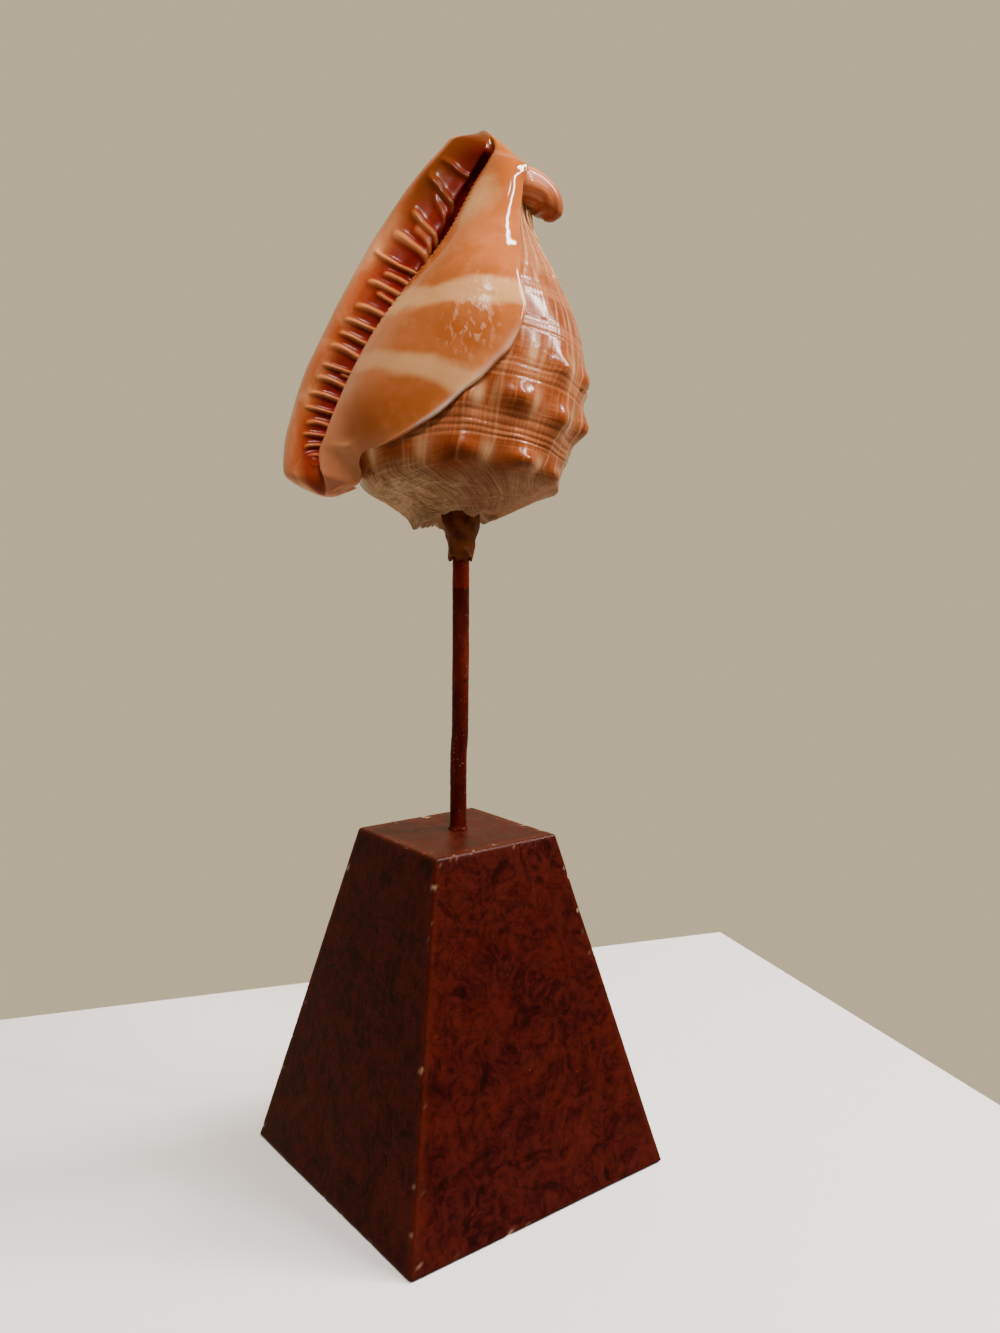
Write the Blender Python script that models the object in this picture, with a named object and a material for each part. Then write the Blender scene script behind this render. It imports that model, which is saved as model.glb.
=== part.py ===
"""Mounted helmet shell on a dowel and a tapered block.

Built in metres, +Z up, base centre at the origin, block sides along X and Y.
The shell is shaped in millimetres in its own frame: z runs along the coil axis
from the broken spire to the canal, -y faces out of the aperture side and +x is
the right hand side of that face. It is one solid, a body whorl and spire loft
joined to the loft of the outer lip, aperture and shield and to the bent canal.
"""
import math

import bmesh
import bpy
import numpy as np
from mathutils import Matrix, Vector

# Block, metres
BASE_X = 0.110
BASE_Y = 0.1067
TOP_X = 0.0519
TOP_Y = 0.0504
BLOCK_HEIGHT = 0.1217
EDGE_ROUND = 0.0011

# Dowel, metres: centre line from the block's socket up into the putty
ROD_RADIUS = 0.003
ROD_LINE = (
    (0.00200, 0.00144, 0.1122),
    (0.00205, 0.00141, 0.1300),
    (0.00208, 0.00139, 0.1475),
    (0.00255, 0.00106, 0.1575),
    (0.00280, 0.00090, 0.1900),
    (0.00290, 0.00083, 0.2330),
)
GAP = 0.0003

# Putty collar: height, radius and sideways shift in metres, from its ragged foot up
PUTTY_RINGS = (
    (0.2196, 0.00405, 0.0, 0.0),
    (0.2203, 0.00440, 0.0, 0.0),
    (0.2222, 0.00455, 0.0, 0.0),
    (0.2255, 0.00490, 0.0000, 0.0),
    (0.2290, 0.00590, -0.0002, 0.0),
    (0.2322, 0.00650, 0.0, 0.0),
    (0.2352, 0.00655, 0.0, 0.0),
    (0.2385, 0.00560, 0.0, 0.0),
    (0.2400, 0.00330, 0.0, 0.0),
)

# Where the shell stands and how it leans, metres and degrees
SHELL_AT = (-0.00005, 0.00293, 0.2315)
VIEW_TURN = -35.33
LEAN_RIGHT = 12.0
LEAN_BACK = 10.0
FACE_TURN = 45.0

# Outer lip roll, millimetres: (height, centre x), (height, centre y), (height, radius)
LIP_X = (
    (0, -37.5), (1.5, -39.8), (3, -42.2), (5, -44.6), (9, -46.8), (14, -47.8), (22, -48.4),
    (33, -47.5), (45, -45.4), (60, -41.5), (70, -39.4), (85, -37.2), (99, -34.5),
    (113, -30.7), (123, -27.6), (134, -24.0), (142, -20.8), (147, -19),
)
LIP_Y = (
    (0, -33), (3, -32), (9, -31), (22, -31.7), (45, -31.6), (60, -30.2), (70, -29),
    (85, -26), (99, -23.3), (113, -20.3), (123, -17.8), (134, -14.6), (147, -11),
)
LIP_R = (
    (0, 5.5), (3, 7), (7, 8), (12, 8.5), (60, 8.6), (85, 8.2), (99, 7.8), (113, 7.4),
    (123, 7), (134, 6), (147, 4),
)
# Crest of the shield's inner rim
RIM_X = (
    (-1, -27), (2, -25.6), (4, -26.0), (6, -26.9), (9, -28.3), (14, -28.9), (20, -26.8),
    (28, -24.3), (40, -20.5), (50, -16.9), (60, -13.0), (70, -9.2), (80, -6.2), (89, -4.4),
    (99, -3.3), (113, -2.7), (125, -2.4), (131, -2.2), (136, -2.4), (140, -3.4), (144, -8), (147.2, -13),
)
RIM_Y = (
    (-1, -35), (2, -36.5), (6, -38.4), (12, -39.6), (20, -40.5), (30, -41), (40, -40.8), (50, -40.2),
    (60, -38.8), (70, -36.2), (80, -32.6), (89, -28.8), (99, -25), (113, -21), (125, -17.5),
    (135, -15), (147, -11),
)
# Outer edge of the shield where it ends on the body
EDGE_X = (
    (-1, -35), (0.5, -31), (2.6, -26.5), (7, -21.8), (10, -20), (12.5, -17.8), (14.3, -14.5),
    (15.7, -9.5), (17.0, -3.5), (18.6, 3.0), (20.8, 8.3), (23.5, 12.9), (28.2, 19.1),
    (35.8, 24.7), (40.4, 27.8), (47.3, 30.8), (53.3, 32.9), (62.2, 33.4), (69.1, 32.4),
    (77.1, 28.9), (92.4, 21.1), (114.9, 11.2), (127, 9.1), (133, 9.0), (137, 8.6),
    (140.5, 7.2), (144, 3.5), (147.2, -7),
)
EDGE_Y = (
    (-1, -32.5), (0.5, -31.5), (2.6, -29.5), (7, -27.5), (10, -28.3), (12.5, -29.8),
    (14.3, -31.8), (15.7, -33.8), (17.0, -35.5), (18.6, -36.4), (20.8, -36.4), (23.5, -35.8),
    (28.2, -33.8), (35.8, -30.9), (40.4, -28.6), (47.3, -25.5), (53.3, -22.5), (62.2, -20.0),
    (69.1, -18.6), (77.1, -19.3), (92.4, -15.6), (114.9, -10.3), (127, -9.2), (147, -7),
)
SLOT_WIDTH = (
    (4, 1.2), (9, 0.9), (12, 1.4), (16, 3.0), (20, 4.0), (45, 5.5), (70, 7.5), (90, 9), (113, 8),
    (124, 6.5), (131, 4.2), (136, 1.8), (139, 1.2),
)
SLOT_DEPTH = (
    (2, 0.1), (8, 0.3), (11, 1.5), (14, 5), (18, 11), (24, 17), (32, 20), (60, 22), (90, 18), (112, 11.5),
    (123, 6.6), (130, 3.6), (135, 1.2), (139, 0.3),
)
SHIELD_SWELL = (
    (-1, 0.8), (9, 2.2), (14, 2.6), (18, 3.4), (25, 4.8), (40, 7.0), (60, 9.0), (75, 8.4),
    (91, 6.8), (113, 4.6), (125, 3.6), (142, 1),
)
LIP_DROP = (
    (-1, 1), (6, 2.6), (10, 4), (14, 6), (18, 8), (25, 9), (60, 10), (90, 10.2), (113, 10),
    (124, 9.2), (131, 7), (137, 4), (142, 2),
)
# Ends of the mask's loft, and how its sections are spread: share of the sections, height
MASK_LOW = 1.0
MASK_TOP = 147.2
MASK_SPREAD = ((0, MASK_LOW), (0.05, 3.4), (0.26, 24), (0.96, 142.8), (1, MASK_TOP))
MASK_SECTIONS = 70
# Steps between one control point of a section and the next, the first one the lip's back
SECTION_STEPS = (1,) * 4 + (2,) * 3 + (1,) * 19
# Directions used where the mask's ends close to a rounded point, one a control point
ROUND_ANGLES = (
    150, 165, 188, 212, 236, 258, 276, 288, 292, 296, 300, 304, 308, 313, 319, 325, 332,
    339, 346, 353, 360, 375, 402, 435, 465, 492,
)
# Outer lip teeth: height at the outer end, share of the way in, height and share at the inner end
TEETH = (
    (131.0, 0.25, 126.5, 0.85, 0.5), (123.4, 0.26, 114.1, 0.95, 1.0), (108.4, 0.45, 99.8, 1.0, 1.0),
    (99.2, 0.36, 91.7, 1.0, 1.0), (91.3, 0.16, 84.7, 0.95, 1.0), (83.4, 0.55, 80.0, 0.95, 0.8),
    (79.5, 0.38, 75.2, 0.95, 1.0), (75.6, 0.6, 71.8, 0.95, 0.7), (69.7, 0.38, 66.4, 0.95, 1.0),
    (64.2, 0.30, 61.0, 0.95, 1.0), (59.1, 0.33, 55.8, 0.92, 1.0), (54.2, 0.25, 50.6, 0.9, 1.0),
    (47.0, 0.30, 45.3, 0.9, 1.0), (42.2, 0.27, 40.0, 0.9, 1.0), (36.4, 0.22, 35.1, 0.9, 1.0),
    (31.2, 0.22, 30.4, 0.9, 1.0), (25.6, 0.35, 25.6, 0.9, 0.8), (21.4, 0.34, 22.3, 0.92, 0.9),
    (17.0, 0.42, 18.7, 0.92, 0.8), (13.0, 0.52, 14.8, 0.92, 0.7),
)
TOOTH_HEIGHT = 1.15
TOOTH_WIDTH = 1.55
# Distance from the lip's crest to the slot, for the slope of a tooth
TOOTH_RUN = 11.0

# Body whorl rows from the bottom pit up: height, radius on the right, radius on the lip side
BODY = (
    (6.5, 0.3, 0.3), (6.2, 6.0, 6.0), (4.6, 9.6, 9.6), (2.4, 11.4, 11.4), (2.0, 12.8, 12.8),
    (3.0, 15.2, 15.2), (5.2, 18.6, 19.4), (7.8, 22.8, 23.8), (10.3, 26.8, 28.0),
    (13.0, 30.2, 32.4), (16.2, 32.4, 37.0), (20, 33.6, 42.0), (24, 34.1, 46.8),
    (28, 34.4, 48.4), (34, 35.4, 48.0), (41, 36.8, 46.4), (48, 37.4, 44.4), (56, 36.9, 41.6),
    (63, 35.6, 40.4), (70, 33.4, 39.2), (78, 29.8, 37.8), (86, 24.8, 36.0), (94, 18.8, 33.6),
    (102, 12.2, 30.4), (109, 7.0, 27.0), (114, 3.2, 24.0), (119, 1.6, 20.5), (125, 1.2, 15.5),
    (130, 1.2, 9.5), (133.5, 0.3, 0.3),
)
LAST_ROW = len(BODY) - 1
BODY_COLUMNS = 63
# Height over which the shield thins down to the body above its lower margin
MARGIN_FADE = 24.0
# How far the radius has moved from the right hand value (0) to the lip side value (1)
TURN = (
    (-90, 1.0), (-70, 1.0), (-50, 0.80), (-30, 0.42), (-10, 0.22), (20, 0.16), (45, 0.12),
    (70, 0.04), (90, 0.0), (126, 0.0), (180, 0.30), (225, 0.62), (270, 1.0),
)
SPIRE_TILT = 0.19
SPIRE_TILT_TOWARDS = 135.0
# Knob rows: height at 40 degrees, rise a degree, first knob, spacing, how proud, half width
KNOB_ROWS = (
    (18.2, -0.025, 44.0, 36.0, 3.5, 6.8),
    (26.0, 0.055, 46.0, 25.0, 0.9, 4.6),
    (36.4, 0.055, 67.0, 30.4, 3.5, 6.6),
    (51.2, 0.075, 60.0, 28.5, 2.6, 6.0),
)

# Bent canal: centre line and radius, millimetres
CANAL = (
    (-3.0, -10.0, 121.0, 4.6), (-1.2, -5.6, 124.2, 6.4), (0.3, -0.6, 126.5, 7.0),
    (1.6, 4.4, 127.0, 6.8), (2.8, 8.6, 125.9, 6.5), (3.7, 11.5, 123.5, 5.9),
    (4.2, 12.7, 121.4, 4.6), (4.3, 13.0, 120.0, 2.4),
)


def keyed(at, keys):
    """Smooth value between keys of (place, value), without overshoot."""
    kx = np.array([k[0] for k in keys], float)
    ky = np.array([k[1] for k in keys], float)
    step = np.diff(kx)
    rise = np.diff(ky) / step
    slope = np.zeros_like(ky)
    same = rise[:-1] * rise[1:] > 0
    both = rise[:-1] + rise[1:]
    slope[1:-1][same] = 2 * (rise[:-1] * rise[1:])[same] / both[same]
    slope[0] = rise[0]
    slope[-1] = rise[-1]
    at = np.clip(np.asarray(at, float), kx[0], kx[-1])
    i = np.clip(np.searchsorted(kx, at, side="right") - 1, 0, len(step) - 1)
    t = (at - kx[i]) / step[i]
    low = (1 + 2 * t) * (1 - t) ** 2 * ky[i] + t * (1 - t) ** 2 * step[i] * slope[i]
    high = t * t * (3 - 2 * t) * ky[i + 1] + t * t * (t - 1) * step[i] * slope[i + 1]
    return low + high


def ease(t):
    """Soft step from 0 to 1."""
    t = np.clip(t, 0, 1)
    return t * t * (3 - 2 * t)


def mask_controls(z):
    """Control points of the lip, slot and shield section at each height."""
    cx, cy, r = keyed(z, LIP_X), keyed(z, LIP_Y), keyed(z, LIP_R)
    rim_x, rim_y = keyed(z, RIM_X), keyed(z, RIM_Y)
    edge_x, edge_y = keyed(z, EDGE_X), keyed(z, EDGE_Y)
    width, depth = keyed(z, SLOT_WIDTH), keyed(z, SLOT_DEPTH)
    swell, drop = keyed(z, SHIELD_SWELL), keyed(z, LIP_DROP)
    rim_r = np.clip(0.25 * (edge_x - rim_x) + 1.0, 0.8, 4.5)
    rim_r = rim_r * (0.3 + 0.7 * ease((z - 5) / 8) * ease((143 - z) / 11))
    slot_right = rim_x - rim_r
    slot_left = np.maximum(slot_right - width, cx + 0.75 * r)
    slot_right = np.maximum(slot_right, slot_left + 0.4)
    crest = cy - r
    lip_in = crest + drop
    rim_in = rim_y + rim_r
    deep = np.maximum(lip_in, rim_in) + depth
    under = np.maximum(deep, edge_y) + 3.2
    tuck = ease((z - 8) / 8) * ease((140 - z) / 9)
    run_x, run_y = edge_x - rim_x, edge_y - rim_y
    run = np.hypot(run_x, run_y) + 1e-6

    margin = [(x, height) for height, x in EDGE_X if height < 60]

    def shield(share, lift):
        x = rim_x + run_x * share + run_y / run * lift * swell
        y = rim_y + run_y * share - run_x / run * lift * swell
        foot = keyed(x, margin)
        inside = 1 - (1 - np.clip((z - foot) / MARGIN_FADE + 0.05, 0, 1)) ** 2
        low = keyed(foot, EDGE_Y)
        return x, np.where(z < 60, np.maximum(y, low + (y - low) * inside), y)

    points = [
        (cx - 0.55 * r, cy + 1.0 * r),
        (cx - 0.95 * r, cy + 0.42 * r),
        (cx - 0.97 * r, cy - 0.25 * r),
        (cx - 0.62 * r, cy - 0.80 * r),
        (cx + 0.05 * r, crest),
        (cx + 0.66 * r, crest + 0.22 * drop),
        (0.5 * (cx + 0.66 * r) + 0.5 * slot_left, crest + 0.66 * drop),
        (slot_left - 0.2, lip_in),
        (slot_left - 0.2 - 0.6 * tuck, lip_in + 0.35 * depth),
        (slot_left + 0.4 * tuck, deep - 0.08 * depth),
        (0.5 * (slot_left + slot_right) + 1.2 * tuck, deep),
        (slot_right + 1.8 * tuck, deep - 0.12 * depth),
        (slot_right + 0.9 * tuck, rim_in + 0.45 * depth),
        (slot_right, rim_in),
        (slot_right + 0.32 * rim_r, rim_y + 0.30 * rim_r),
        (rim_x + 0.1 * rim_r, rim_y - 0.02 * rim_r),
        shield(0.25, 0.72),
        shield(0.50, 0.98),
        shield(0.75, 0.78),
        shield(0.93, 0.28),
        (edge_x, edge_y),
        (edge_x - 1.2, edge_y + 1.9),
        (edge_x - 0.38 * (edge_x - slot_right), edge_y + 0.45 * (under - edge_y)),
        (slot_right + 4.5, under),
        (slot_left - 2.5, under),
        (cx + 0.75 * r, cy + 1.25 * r + 1.5),
    ]
    rows = [np.stack([a + 0 * z, b + 0 * z], -1) for a, b in points]
    return np.stack(rows, 1)


def round_ends(points, z):
    """Close the mask's two ends to rounded points."""
    low = np.clip((z - MASK_LOW) / 8.5, 0, 1)
    high = np.clip((MASK_TOP - z) / 9.0, 0, 1)
    size = (1 - (1 - low) ** 2.4) ** (1 / 2.4) * np.sqrt(1 - (1 - high) ** 2)
    size = np.maximum(size, 0.03)[:, None, None]
    kept = (ease((z - 1.4) / 5.5) * ease((high - 0.1) / 0.8))[:, None, None]
    middle = 0.5 * (points.min(1, keepdims=True) + points.max(1, keepdims=True))
    spread = np.abs(points - middle).max(1, keepdims=True)
    turn = np.radians(ROUND_ANGLES)
    oval = middle + spread * 0.8 * np.stack([np.cos(turn), np.sin(turn)], -1)[None]
    mixed = points * kept + oval * (1 - kept)
    return middle + (mixed - middle) * size


def closed_curve(points, cuts):
    """Cubic through every control point, the same number of steps on every section."""
    count = points.shape[1]
    reach = np.sqrt(np.linalg.norm(np.roll(points, -1, 1) - points, axis=2) + 1e-9)
    back = np.roll(reach, 1, 1)
    ahead = (np.roll(points, -1, 1) - points) / reach[..., None]
    behind = (points - np.roll(points, 1, 1)) / back[..., None]
    tangent = behind * reach[..., None] + ahead * back[..., None]
    tangent = tangent / (reach + back)[..., None]
    out = []
    for i in range(count):
        j = (i + 1) % count
        p, q = points[:, i], points[:, j]
        a, b = tangent[:, i] * reach[:, i:i + 1], tangent[:, j] * reach[:, i:i + 1]
        for s in range(cuts[i]):
            t = s / cuts[i]
            out.append(
                (2 * t**3 - 3 * t * t + 1) * p + (t**3 - 2 * t * t + t) * a
                + (3 * t * t - 2 * t**3) * q + (t**3 - t * t) * b
            )
    return np.stack(out, 1)


def tooth_lift(z, share):
    """Height of the lip's teeth at a height and a share of the way from crest to slot."""
    lift = np.zeros(np.broadcast(z, share).shape)
    for z_out, s_out, z_in, s_in, size in TEETH:
        along = (share - s_out) / (s_in - s_out)
        middle = z_out + (z_in - z_out) * np.clip(along, -0.2, 1.6)
        slope = (z_in - z_out) / (TOOTH_RUN * (s_in - s_out))
        wide = TOOTH_WIDTH * math.sqrt(1 + slope * slope)
        ridge = np.exp(-((z - middle) / wide) ** 2)
        rise = ease((along + 0.25) / 0.55) * (1 - 0.75 * ease((along - 1.5) / 1.2))
        lift = np.maximum(lift, ridge * rise * size)
    return lift * TOOTH_HEIGHT


def mask_rings(z, cuts):
    """Rings of the lip, slot and shield, (heights, points, 3)."""
    flat = closed_curve(round_ends(mask_controls(z), z), cuts)
    place = np.concatenate([i + np.arange(n) / n for i, n in enumerate(cuts)])
    ahead = np.roll(flat, -1, 1) - np.roll(flat, 1, 1)
    length = np.linalg.norm(ahead, axis=2, keepdims=True) + 1e-9
    out = np.stack([ahead[..., 1], -ahead[..., 0]], -1) / length
    share = np.interp(place, [3.0, 4, 5, 6, 7, 8, 9, 10], [-0.3, 0, 0.38, 0.72, 1, 1.45, 2.2, 3])
    lift = tooth_lift(z[:, None], share[None])
    lift = lift * ((place > 3.0) & (place < 10))[None]
    flat = flat + out * lift[..., None]
    height = np.broadcast_to(z[:, None], flat.shape[:2])
    inward = flat[..., 0] - keyed(z, LIP_X)[:, None]
    lean = 0.24 * ease((height - 116) / 26) * (inward + 2)
    height = height - lean - 0.20 * ease((height - 134) / 10) * (inward - 5)
    return np.concatenate([flat, height[..., None]], 2)


def knob_lift(z, deg):
    """How far the blunt knobs stand out at a height and an angle of the body."""
    lift = np.zeros(np.broadcast(z, deg).shape)
    for row, (base, rise, first, step, proud, half) in enumerate(KNOB_ROWS):
        steps = (deg - first) / step
        near = np.round(steps)
        off = (steps - near) * step
        odd = 0.5 + 0.5 * np.sin(near * 2.3 + row * 1.7)
        middle = base + rise * (deg - 40) + 1.2 * np.sin(near * 3.1 + row)
        across = off / (half / 36.0 * 57.3)
        up = (z - middle) / (half * 0.82)
        lift = lift + proud * (0.7 + 0.45 * odd) * np.exp(-(across**2 + up**2) * 1.25)
    shy = ease((deg - 22 - 0.9 * np.clip(z - 22, 0, 40)) / 14)
    return lift * shy * ease((318 - deg) / 28)


def body_rings(rows, deg):
    """Rings of the body whorl: rows 0 to 1 from the bottom pit to the neck."""
    place = np.arange(len(BODY)) / LAST_ROW
    height = keyed(rows, list(zip(place, [b[0] for b in BODY])))[:, None]
    right = keyed(rows, list(zip(place, [b[1] for b in BODY])))[:, None]
    lip = keyed(rows, list(zip(place, [b[2] for b in BODY])))[:, None]
    turned = (deg + 90) % 360 - 90
    share = np.interp(turned, [t[0] for t in TURN], [t[1] for t in TURN])[None]
    radius = np.maximum(right + (lip - right) * share, 0.3)
    shoulder = ease((height - 8) / 8) * ease((rows[:, None] * LAST_ROW - 5.5) / 2)
    radius = radius + knob_lift(height, deg[None] % 360) * shoulder
    angle = np.radians(deg)[None]
    tilt = SPIRE_TILT * (1 - ease((height - 10) / 22))
    lean = np.cos(angle - math.radians(SPIRE_TILT_TOWARDS))
    rim = np.exp(-((rows[:, None] * LAST_ROW - 3.8) / 1.3) ** 2)
    chip = 1.7 * np.cos(angle + math.radians(48)) + 0.8 * np.sin(5 * angle + 1)
    height = height + tilt * radius * lean - rim * (chip + 0.5 * np.sin(11 * angle))
    return np.stack([radius * np.sin(angle), -radius * np.cos(angle), height + 0 * angle], -1)


def shell_frame():
    """Matrix from the shell's millimetres to world metres."""
    turn = math.radians(VIEW_TURN)
    across = Vector((math.cos(turn), math.sin(turn), 0))
    away = Vector((-math.sin(turn), math.cos(turn), 0))
    right, back = math.radians(LEAN_RIGHT), math.radians(LEAN_BACK)
    up = math.sin(right) * math.cos(back) * across + math.sin(back) * away
    up = up + Vector((0, 0, math.cos(right) * math.cos(back)))
    up.normalize()
    face = math.radians(FACE_TURN)
    out = -math.sin(face) * across - math.cos(face) * away
    out = (out - out.dot(up) * up).normalized()
    y_axis = -out
    x_axis = y_axis.cross(up)
    turned = Matrix((x_axis, y_axis, up)).transposed().to_4x4()
    return Matrix.Translation(SHELL_AT) @ turned @ Matrix.Scale(0.001, 4)


def material(name, color, rough, coat=0.0):
    mat = bpy.data.materials.new(name)
    mat.use_nodes = True
    shader = mat.node_tree.nodes["Principled BSDF"]
    shader.inputs["Base Color"].default_value = (*color, 1)
    shader.inputs["Roughness"].default_value = rough
    shader.inputs["Coat Weight"].default_value = coat
    mat.diffuse_color = (*color, 1)
    return mat


def new_object(name, bm, into):
    mesh = bpy.data.meshes.new(name)
    bm.to_mesh(mesh)
    bm.free()
    obj = bpy.data.objects.new(name, mesh)
    into.objects.link(obj)
    return obj


def loft(name, rings, into, frame=None):
    """Closed skin over rings of equal point count, each end closed to its middle."""
    bm = bmesh.new()
    rows = [[bm.verts.new(Vector(p)) for p in ring] for ring in rings]
    count = len(rows[0])
    for low, high in zip(rows, rows[1:]):
        for i in range(count):
            j = (i + 1) % count
            bm.faces.new((low[i], low[j], high[j], high[i]))
    for row, flip in ((rows[0], True), (rows[-1], False)):
        middle = sum((v.co for v in row), Vector()) / count
        tip = bm.verts.new(middle)
        for i in range(count):
            j = (i + 1) % count
            pair = (row[j], row[i]) if flip else (row[i], row[j])
            bm.faces.new((*pair, tip))
    bmesh.ops.triangulate(bm, faces=bm.faces)
    bmesh.ops.recalc_face_normals(bm, faces=bm.faces)
    if frame is not None:
        bm.transform(frame)
    return new_object(name, bm, into)


def tube_rings(path, around, wobble=0.0):
    """Rings square to a path of (x, y, z, radius)."""
    spots = [Vector(p[:3]) for p in path]
    rings = []
    side = None
    for i, spot in enumerate(spots):
        ahead = (spots[min(i + 1, len(spots) - 1)] - spots[max(i - 1, 0)]).normalized()
        if side is None:
            side = ahead.orthogonal().normalized()
        side = (side - side.dot(ahead) * ahead).normalized()
        up = ahead.cross(side)
        ring = []
        for k in range(around):
            turn = 2 * math.pi * k / around
            r = path[i][3] * (1 + wobble * math.sin(3 * turn + i * 1.3))
            ring.append(spot + r * (math.cos(turn) * side + math.sin(turn) * up))
        rings.append(ring)
    return rings


def combine(target, other, operation):
    """Apply one exact Boolean on the target."""
    step = target.modifiers.new(operation.title(), "BOOLEAN")
    step.operation = operation
    step.solver = "EXACT"
    step.object = other
    bpy.context.view_layer.update()
    graph = bpy.context.evaluated_depsgraph_get()
    mesh = bpy.data.meshes.new_from_object(target.evaluated_get(graph))
    target.modifiers.clear()
    old = target.data
    target.data = mesh
    bpy.data.meshes.remove(old)


def tidy_mesh(obj, within):
    """Merge near points and drop faces with no area."""
    bm = bmesh.new()
    bm.from_mesh(obj.data)
    bmesh.ops.remove_doubles(bm, verts=bm.verts, dist=within)
    bmesh.ops.dissolve_degenerate(bm, edges=bm.edges, dist=within)
    bmesh.ops.triangulate(bm, faces=bm.faces)
    bmesh.ops.recalc_face_normals(bm, faces=bm.faces)
    bm.to_mesh(obj.data)
    bm.free()


def make_block(into):
    """Tapered block with rounded edges and a blind socket for the dowel."""
    bm = bmesh.new()
    bmesh.ops.create_cube(bm, size=1.0)
    for v in bm.verts:
        top = v.co.z > 0
        v.co.x *= TOP_X if top else BASE_X
        v.co.y *= TOP_Y if top else BASE_Y
        v.co.z = BLOCK_HEIGHT if top else 0
    edges = [e for e in bm.edges if e.verts[0].co.z + e.verts[1].co.z > 0.001]
    bmesh.ops.bevel(bm, geom=edges, offset=EDGE_ROUND, segments=2, profile=0.5, affect="EDGES")
    return new_object("base_block", bm, into)


def make_rod(name, grow, into, low=None):
    path = [(*p, ROD_RADIUS + grow) for p in ROD_LINE]
    if low is not None:
        path[0] = (*path[0][:2], low, ROD_RADIUS + grow)
    return loft(name, tube_rings(path, 20), into)


def make_putty(into):
    """Ragged collar of putty round the top of the dowel."""
    x, y = ROD_LINE[-1][:2]
    turn = math.radians(VIEW_TURN)
    rings = []
    for row, (z, r, across, away) in enumerate(PUTTY_RINGS):
        ring = []
        for k in range(18):
            a = 2 * math.pi * k / 18
            rough = 1 + 0.05 * math.sin(3 * a + row) + 0.035 * math.sin(5 * a + 2.2 * row)
            foot = 0.0006 * math.sin(4 * a + 0.6) * (1 if row < 2 else 0.2)
            px = x + across * math.cos(turn) + r * rough * math.cos(a)
            py = y + across * math.sin(turn) + r * rough * math.sin(a)
            ring.append((px, py, z + foot))
        rings.append(ring)
    return loft("mounting_putty", rings, into)


def make_shell(into, cutters):
    """Body, mask and canal joined, with the aperture left open to its full depth."""
    frame = shell_frame()
    rows = np.concatenate([np.linspace(0, 8, 11), np.linspace(8.6, LAST_ROW, 33)]) / LAST_ROW
    deg = -160 + np.arange(BODY_COLUMNS) * 360 / BODY_COLUMNS
    shell = loft("shell", body_rings(rows, deg), into, frame)

    share, height = zip(*MASK_SPREAD)
    z = np.interp(np.linspace(0, 1, MASK_SECTIONS), share, height)
    mask = loft("mask", mask_rings(z, SECTION_STEPS), cutters, frame)

    inner = mask_controls(z)
    keep = (z > 9) & (z < 136)
    plug = []
    for ring, height in zip(inner[keep], z[keep]):
        left, right = ring[8, 0] - 1.2, ring[12, 0] + 2.2
        front, back = ring[7, 1] - 14, ring[10, 1] + 1.6
        plug.append(((left, front, height), (right, front, height),
                     (right, back, height), (left, back, height)))
    plug = loft("plug", plug, cutters, frame)
    combine(shell, plug, "DIFFERENCE")
    combine(shell, mask, "UNION")
    canal = loft("canal", tube_rings(CANAL, 16, 0.02), cutters, frame)
    combine(shell, canal, "UNION")
    return shell


for obj in list(bpy.data.objects):
    bpy.data.objects.remove(obj)

scene = bpy.context.scene
parts = bpy.data.collections.new("mounted_helmet_shell")
cutters = bpy.data.collections.new("cutters")
scene.collection.children.link(parts)
scene.collection.children.link(cutters)

block = make_block(parts)
socket = make_rod("socket", GAP, cutters, low=ROD_LINE[0][2] - GAP)
combine(block, socket, "DIFFERENCE")
rod = make_rod("rod", 0.0, parts)
putty = make_putty(parts)
sleeve = make_rod("sleeve", GAP, cutters)
for v in sleeve.data.vertices:
    if v.co.z > 0.2325:
        v.co.z += GAP
combine(putty, sleeve, "DIFFERENCE")

shell = make_shell(parts, cutters)
pit = make_putty(cutters)
pit.name = "pit"
middle = Vector((ROD_LINE[-1][0], ROD_LINE[-1][1], 0.230))
for v in pit.data.vertices:
    away = v.co - middle
    side = Vector((away.x, away.y, 0))
    side.normalize()
    v.co += side * GAP * 1.4
    v.co.z += GAP * (1.3 if away.z > 0 else -1.0)
combine(shell, pit, "DIFFERENCE")
tidy_mesh(shell, 0.00003)

block.data.materials.clear()
block.data.materials.append(material("lacquered wood", (0.14, 0.028, 0.014), 0.42, 0.3))
rod.data.materials.append(material("painted dowel", (0.11, 0.012, 0.009), 0.45))
putty.data.materials.clear()
putty.data.materials.append(material("brown putty", (0.17, 0.072, 0.035), 0.6))
shell.data.materials.clear()
shell.data.materials.append(material("shell", (0.62, 0.28, 0.13), 0.32, 0.4))

for obj in cutters.objects:
    obj.hide_render = True
    obj.display_type = "WIRE"
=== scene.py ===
"""Mounted bull-mouth helmet shell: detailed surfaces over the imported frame.

The shell's surfaces use the same tables as its solid, in the shell's own
millimetres: z runs along the coil axis from the broken spire to the canal, -y
faces out of the aperture side and +x is the right hand side of that face.
"""
import math

import bpy
import numpy as np
from mathutils import Matrix, Vector


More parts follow.
